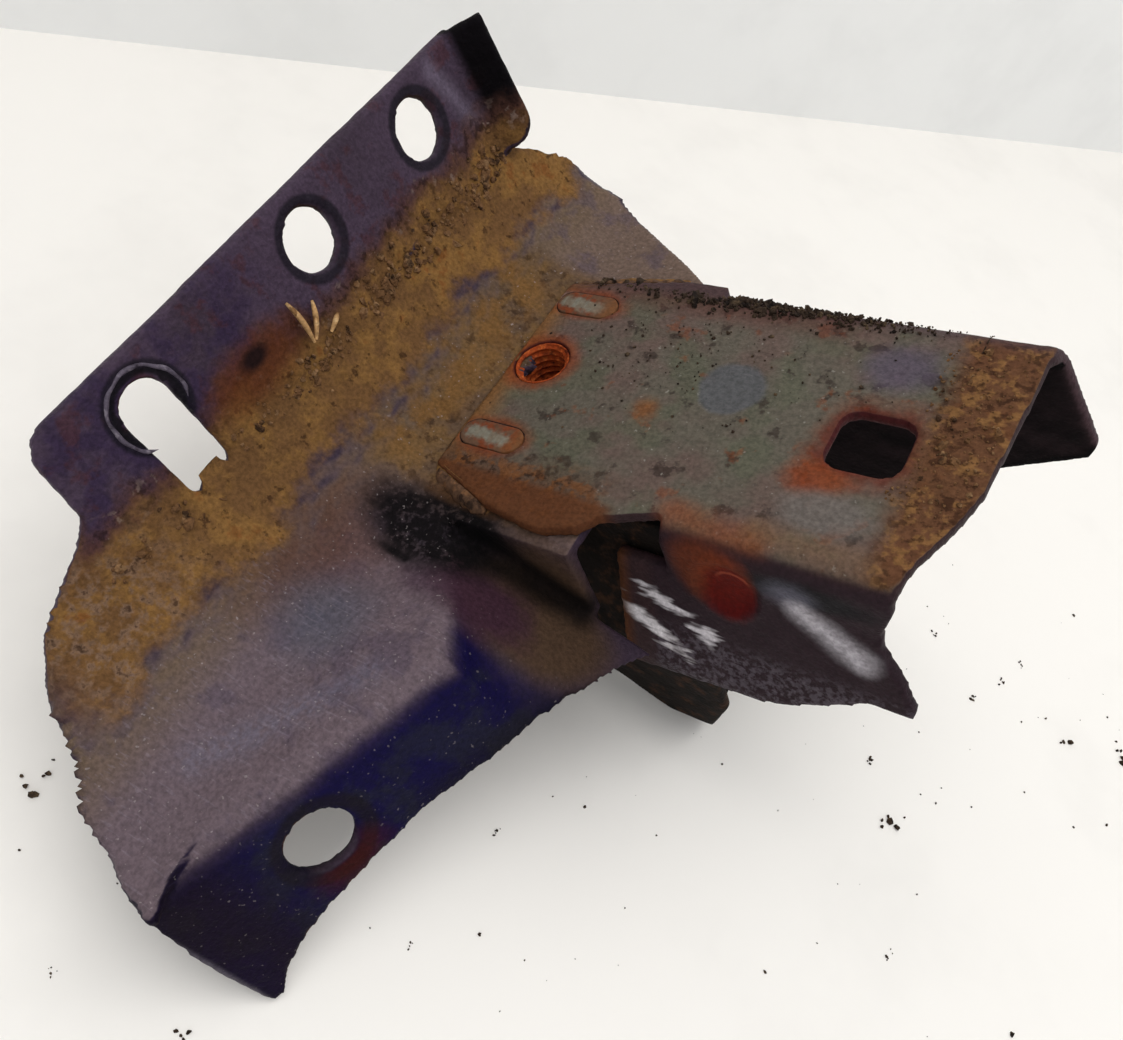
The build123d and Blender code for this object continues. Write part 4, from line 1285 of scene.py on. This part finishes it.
@dataclass
class Rims:
    """Raised mark that a washer left round the slot's top."""

    def lip(self, name: str, centre: Triple, normal: Triple, radius: float, thick: float,
            turn: tuple[float, float],
            material: Any) -> None:
        """Raised lip: a round bead along an arc on the sheet, its radius and height waved by noise.

        Args:
            name: the piece's name.
            centre: the arc's centre on the sheet's face.
            normal: unit normal of that face.
            radius: the arc's radius.
            thick: the bead's radius.
            turn: first and last angle, in degrees, from the sheet's up direction.
            material: its material.
        """
        out = np.array(normal) / np.linalg.norm(normal)
        up = np.array([0, 0, 1.0]) - out * out[2]
        up /= np.linalg.norm(up)
        side = np.cross(up, out)
        a = np.radians(np.linspace(*turn, 90))
        wave = 0.12 * np.sin(a * 5) + 0.08 * np.sin(a * 11 + 1)
        path = (np.array(centre) + up * (np.cos(a) * (radius + wave))[:, None]
                + side * (np.sin(a) * (radius + wave))[:, None] - out * (thick * 0.35))
        fade = (np.clip(np.minimum(a - a[0], a[-1] - a) * 4, 0.05, 1) if abs(turn[1] - turn[0]) < 359 else 1
                + 0 * a)
        points, faces = tube(path, thick * fade * (1 + 0.2 * np.sin(a * 7)), 10)
        fix_facing(piece(name, points, faces, material))


# ---- stage --------------------------------------------------------------------------------------------
@dataclass
class Studio:
    """Pale floor and wall, soft lights, and the camera."""

    lens: float = 29.85
    sensor: float = 36.0
    eye: Triple = (44.01, -112.14, 137.50)
    right: Triple = (0.82304, 0.49687, -0.27518)
    down: Triple = (0.2582, -0.75884, -0.59791)
    ahead: Triple = (-0.5059, 0.42105, -0.75285)
    half_width: float = 1600.0
    depth: float = 1500.0
    wall_height: float = 900.0
    window_watts: float = 9.8
    ceiling_watts: float = 9.4
    world_strength: float = 0.74

    def floor_axes(self) -> tuple[np.ndarray, np.ndarray, np.ndarray, np.ndarray]:
        """Plane through the three feet: a point, two level directions and the upward normal."""
        feet = np.array(FEET)
        up = np.cross(feet[1] - feet[0], feet[2] - feet[0])
        up /= np.linalg.norm(up)
        up *= np.sign(up[2])
        level = np.cross(up, np.array(self.ahead))
        level /= np.linalg.norm(level)
        return feet[0], level, np.cross(up, level), up

    def slab(self, name: str, corner: np.ndarray, one: np.ndarray, two: np.ndarray, material: Any) -> None:
        """Flat stage sheet: corner plus parts of its two edges."""
        points = np.array([corner, corner + one, corner + one + two, corner + two]) * MM
        mesh = bpy.data.meshes.new(name)
        mesh.from_pydata(points.tolist(), [], [[0, 1, 2, 3]])
        mesh.materials.append(material)
        made = placed(name, mesh)

    def plain(self, name: str, colour: Colour, roughness: float, seed: float) -> Any:
        """Pale stage finish with faint clouds."""
        c = Coats(name, colour, roughness)
        darker = tuple(v * 0.93 for v in colour)
        c.lay(darker, c.kit.noise(60.0, 4.0, seed=seed).between(0.45, 0.7) * 0.6)
        c.height = c.kit.noise(1.5, 2.0, seed=seed) * 0.05
        return c.finish(bump=0.3, specular=0.3)

    def table_crumbs(self, material: Any) -> None:
        """Black crumbs dropped on the table."""
        base, level, deep, up = self.floor_axes()
        rng = np.random.default_rng(5)
        spots = [(-123.4, -125.5, -4.8, 1.6), (11.8, -30.0, -109.5, 1.9), (57.3, 30.9, -153.4, 1.6),
                 (23.6, 33.1, -135.2, 0.8), (2.9, -15.9, -108.8, 0.9), (-74.1, -146.3, -26.2, 0.9),
                 (-54.8, -85.0, -55.5, 0.6), (44.9, 24.6, -144.6, 1.2), (3.8, 35.2, -124.7, 0.7),
                 (19.6, 21.2, -129.4, 0.8), (26.9, 42.7, -140.0, 0.7), (-96.6, -149.0, -12.8, 0.5),
                 (-54.3, -113.3, -47.3, 0.5), (23.1, -60.0, -106.8, 0.7)]
        places, sizes = [], []
        for x, y, z, size in spots:
            for _ in range(5):
                places.append(np.array([x, y, z]) + level * rng.normal(0, size) + deep * rng.normal(0, size)
                              + up * size * 0.2)
                sizes.append(size * rng.uniform(0.2, 0.6))
        for _ in range(150):
            place = base + level * rng.uniform(-130, 130) + deep * rng.uniform(-110, 130)
            places.append(place + up * 0.1)
            sizes.append(rng.gamma(1.6, 0.1) + 0.07)
        points, faces = pebbles(np.array(places), np.array(sizes), 6)
        mesh = bpy.data.meshes.new("table_crumbs")
        mesh.from_pydata((points * MM).tolist(), [], faces.tolist())
        mesh.materials.append(material)
        made = placed("table_crumbs", mesh)

    def lamp(self, name: str, direction: np.ndarray, distance: float, size: float, power: float,
             colour: Colour) -> None:
        """Square soft light that looks at the bracket.

        Args:
            name: the light's name.
            direction: from the bracket toward the light.
            distance: metres away.
            size: its side, in metres.
            power: watts.
            colour: its colour.
        """
        data = bpy.data.lights.new(name, "AREA")
        data.size = size
        data.energy = power
        data.color = colour
        lamp = placed(name, data)
        middle = np.array([-0.05, -0.04, -0.03])
        z = direction / np.linalg.norm(direction)
        x = np.cross([0.1, 0.99, 0.02], z)
        x /= np.linalg.norm(x)
        y = np.cross(z, x)
        place = middle + z * distance
        lamp.matrix_world = Matrix([[x[0], y[0], z[0], place[0]], [x[1], y[1], z[1], place[1]],
                                    [x[2], y[2], z[2], place[2]], [0, 0, 0, 1]])

    def build(self, crumb: Any) -> None:
        """Floor, wall, lights, world, camera and view settings."""
        base, _, deep, up = self.floor_axes()
        ahead = -deep if np.dot(-deep, self.ahead) > 0 else deep
        white = self.plain("table_white", tint(246, 242, 236), 0.6, 61)
        grey = self.plain("wall_grey", tint(246, 246, 244), 0.7, 62)
        one, two = (np.array(p) for p in WALL_FOOT)
        run = (two - one) / np.linalg.norm(two - one)
        nearer = np.cross(up, run)
        nearer *= np.sign(np.dot(base - one, nearer))
        corner = (one + two) / 2 - run * self.half_width
        self.slab("table", corner, run * 2 * self.half_width, nearer * self.depth, white)
        self.slab("wall", corner, run * 2 * self.half_width, up * self.wall_height, grey)
        self.table_crumbs(crumb)
        right = np.array(self.right)
        self.lamp("window_left", up * 1.0 + ahead * 0.75 - right * 0.7, 0.9, 0.8, self.window_watts,
                  (1.0, 0.98, 0.95))
        self.lamp("ceiling", up + ahead * 0.15, 1.2, 1.2, self.ceiling_watts, (1.0, 0.99, 0.97))
        world = bpy.data.worlds.new("soft_room")
        world.use_nodes = True
        world.node_tree.nodes["Background"].inputs[0].default_value = (0.95, 0.97, 1.0, 1.0)
        world.node_tree.nodes["Background"].inputs[1].default_value = self.world_strength
        scene = bpy.context.scene
        scene.world = world
        data = bpy.data.cameras.new("camera")
        data.sensor_width = self.sensor
        data.lens = self.lens
        data.clip_start = 0.01
        data.clip_end = 10.0
        camera = placed("camera", data)
        r, d, a, e = self.right, self.down, self.ahead, self.eye
        camera.matrix_world = Matrix([[r[0], -d[0], -a[0], e[0] * MM], [r[1], -d[1], -a[1], e[1] * MM],
                                      [r[2], -d[2], -a[2], e[2] * MM], [0, 0, 0, 1]])
        scene.camera = camera
        scene.view_settings.view_transform = "Standard"
        scene.view_settings.look = "None"


def main() -> None:
    """Dress the CAD nodes, add the detailed pieces and set the stage."""
    logging.basicConfig(level=logging.INFO, format="%(name)s %(message)s")
    plate, arm, plug = PlatePaintWithPaintedLight().build(), ArmPaintWithPaintedLight().build(), GroundPlug().build()
    # trough: rust in near-black tones, painted shade where it sits under the arm
    trough = Rusted("trough_rust_and_painted_shade", tint(22, 15, 11), tint(56, 35, 21), tint(8, 6, 5)).build()
    nut = Rusted("nut_rust", tint(150, 62, 24), tint(190, 96, 44), tint(70, 24, 12), 2.0).build()
    bead = Rusted("bead_rust", tint(86, 62, 46), tint(120, 84, 56), tint(38, 26, 20), 2.5).build()
    dirt = Rusted("packed_dirt", PAINTS.brown_dirt, PAINTS.ochre_dirt, PAINTS.dark_dirt, 6.0, 0.95).build()
    brown = Rusted("brown_crumb", tint(104, 74, 48), tint(140, 108, 76), tint(40, 26, 18), 3.0, 0.95).build()
    black = Rusted("black_crumb", tint(52, 40, 31), tint(88, 72, 54), tint(20, 15, 13), 3.0, 0.9).build()
    straw = Rusted("dry_straw", tint(178, 138, 92), tint(206, 170, 122), tint(110, 76, 44), 2.0, 0.7).build()
    rim = Rusted("rim_worn", tint(84, 76, 88), tint(128, 120, 130), tint(36, 28, 38), 3.0, 0.45).build()
    MountingPlate("mounting_plate", Slot.PLATE, 0.85).build(plate)
    SupportArm("support_arm", Slot.ARM, 0.75).build(arm)
    Trough("trough", Slot.TROUGH, 0.75).build(trough)
    for node, material in (("weld_nut", nut), ("plug_weld_near", plug), ("plug_weld_far", plug),
                           ("seam_weld_near", bead), ("seam_weld_far", bead), ("wall_weld", bead),
                           ("trough_weld", bead)):
        dress(node, material)
    welds = Welds()
    welds.nut(nut)
    welds.plugs(plug)
    for node, root, tip, side in (("seam_weld_near", (-84.5, -31.0, -SHEET), (-67.0, -37.0, -SHEET), 1),
                                  ("seam_weld_far", (-84.5, 29.0, -SHEET), (-55.0, ARM_FAR_Y, -SHEET), -1)):
        run = np.subtract(tip, root)
        along = run / np.linalg.norm(run)
        welds.bead(node + "_rippled", node, root, tip, (side * along[1], -side * along[0], 0.0), (0, 0, 1),
                   SEAM_LEG, bead)
    for node, y in (("wall_weld", ARM_FAR_Y), ("trough_weld", TROUGH_WELD_Y)):
        root, tip = ((x, y, UNDER_WEB) for x in ROOT_WELD_XS)
        welds.bead(node + "_rippled", node, root, tip, (0, 1, 0), (0, 0, -1), ROOT_LEG, bead)
    mud = Dirt()
    mud.mound(dirt)
    mud.crumbs(brown, black)
    mud.straws(straw)
    rims = Rims()
    lean = (math.cos(FLANGE_LEAN), 0.0, math.sin(FLANGE_LEAN))
    rims.lip("washer_mark", flange_place(BOLT_YS[2], BOLT_UP), lean, 7.9, 0.42, (-146.0, 118.0), rim)
    Studio().build(black)


if __name__ == "__main__":
    main()
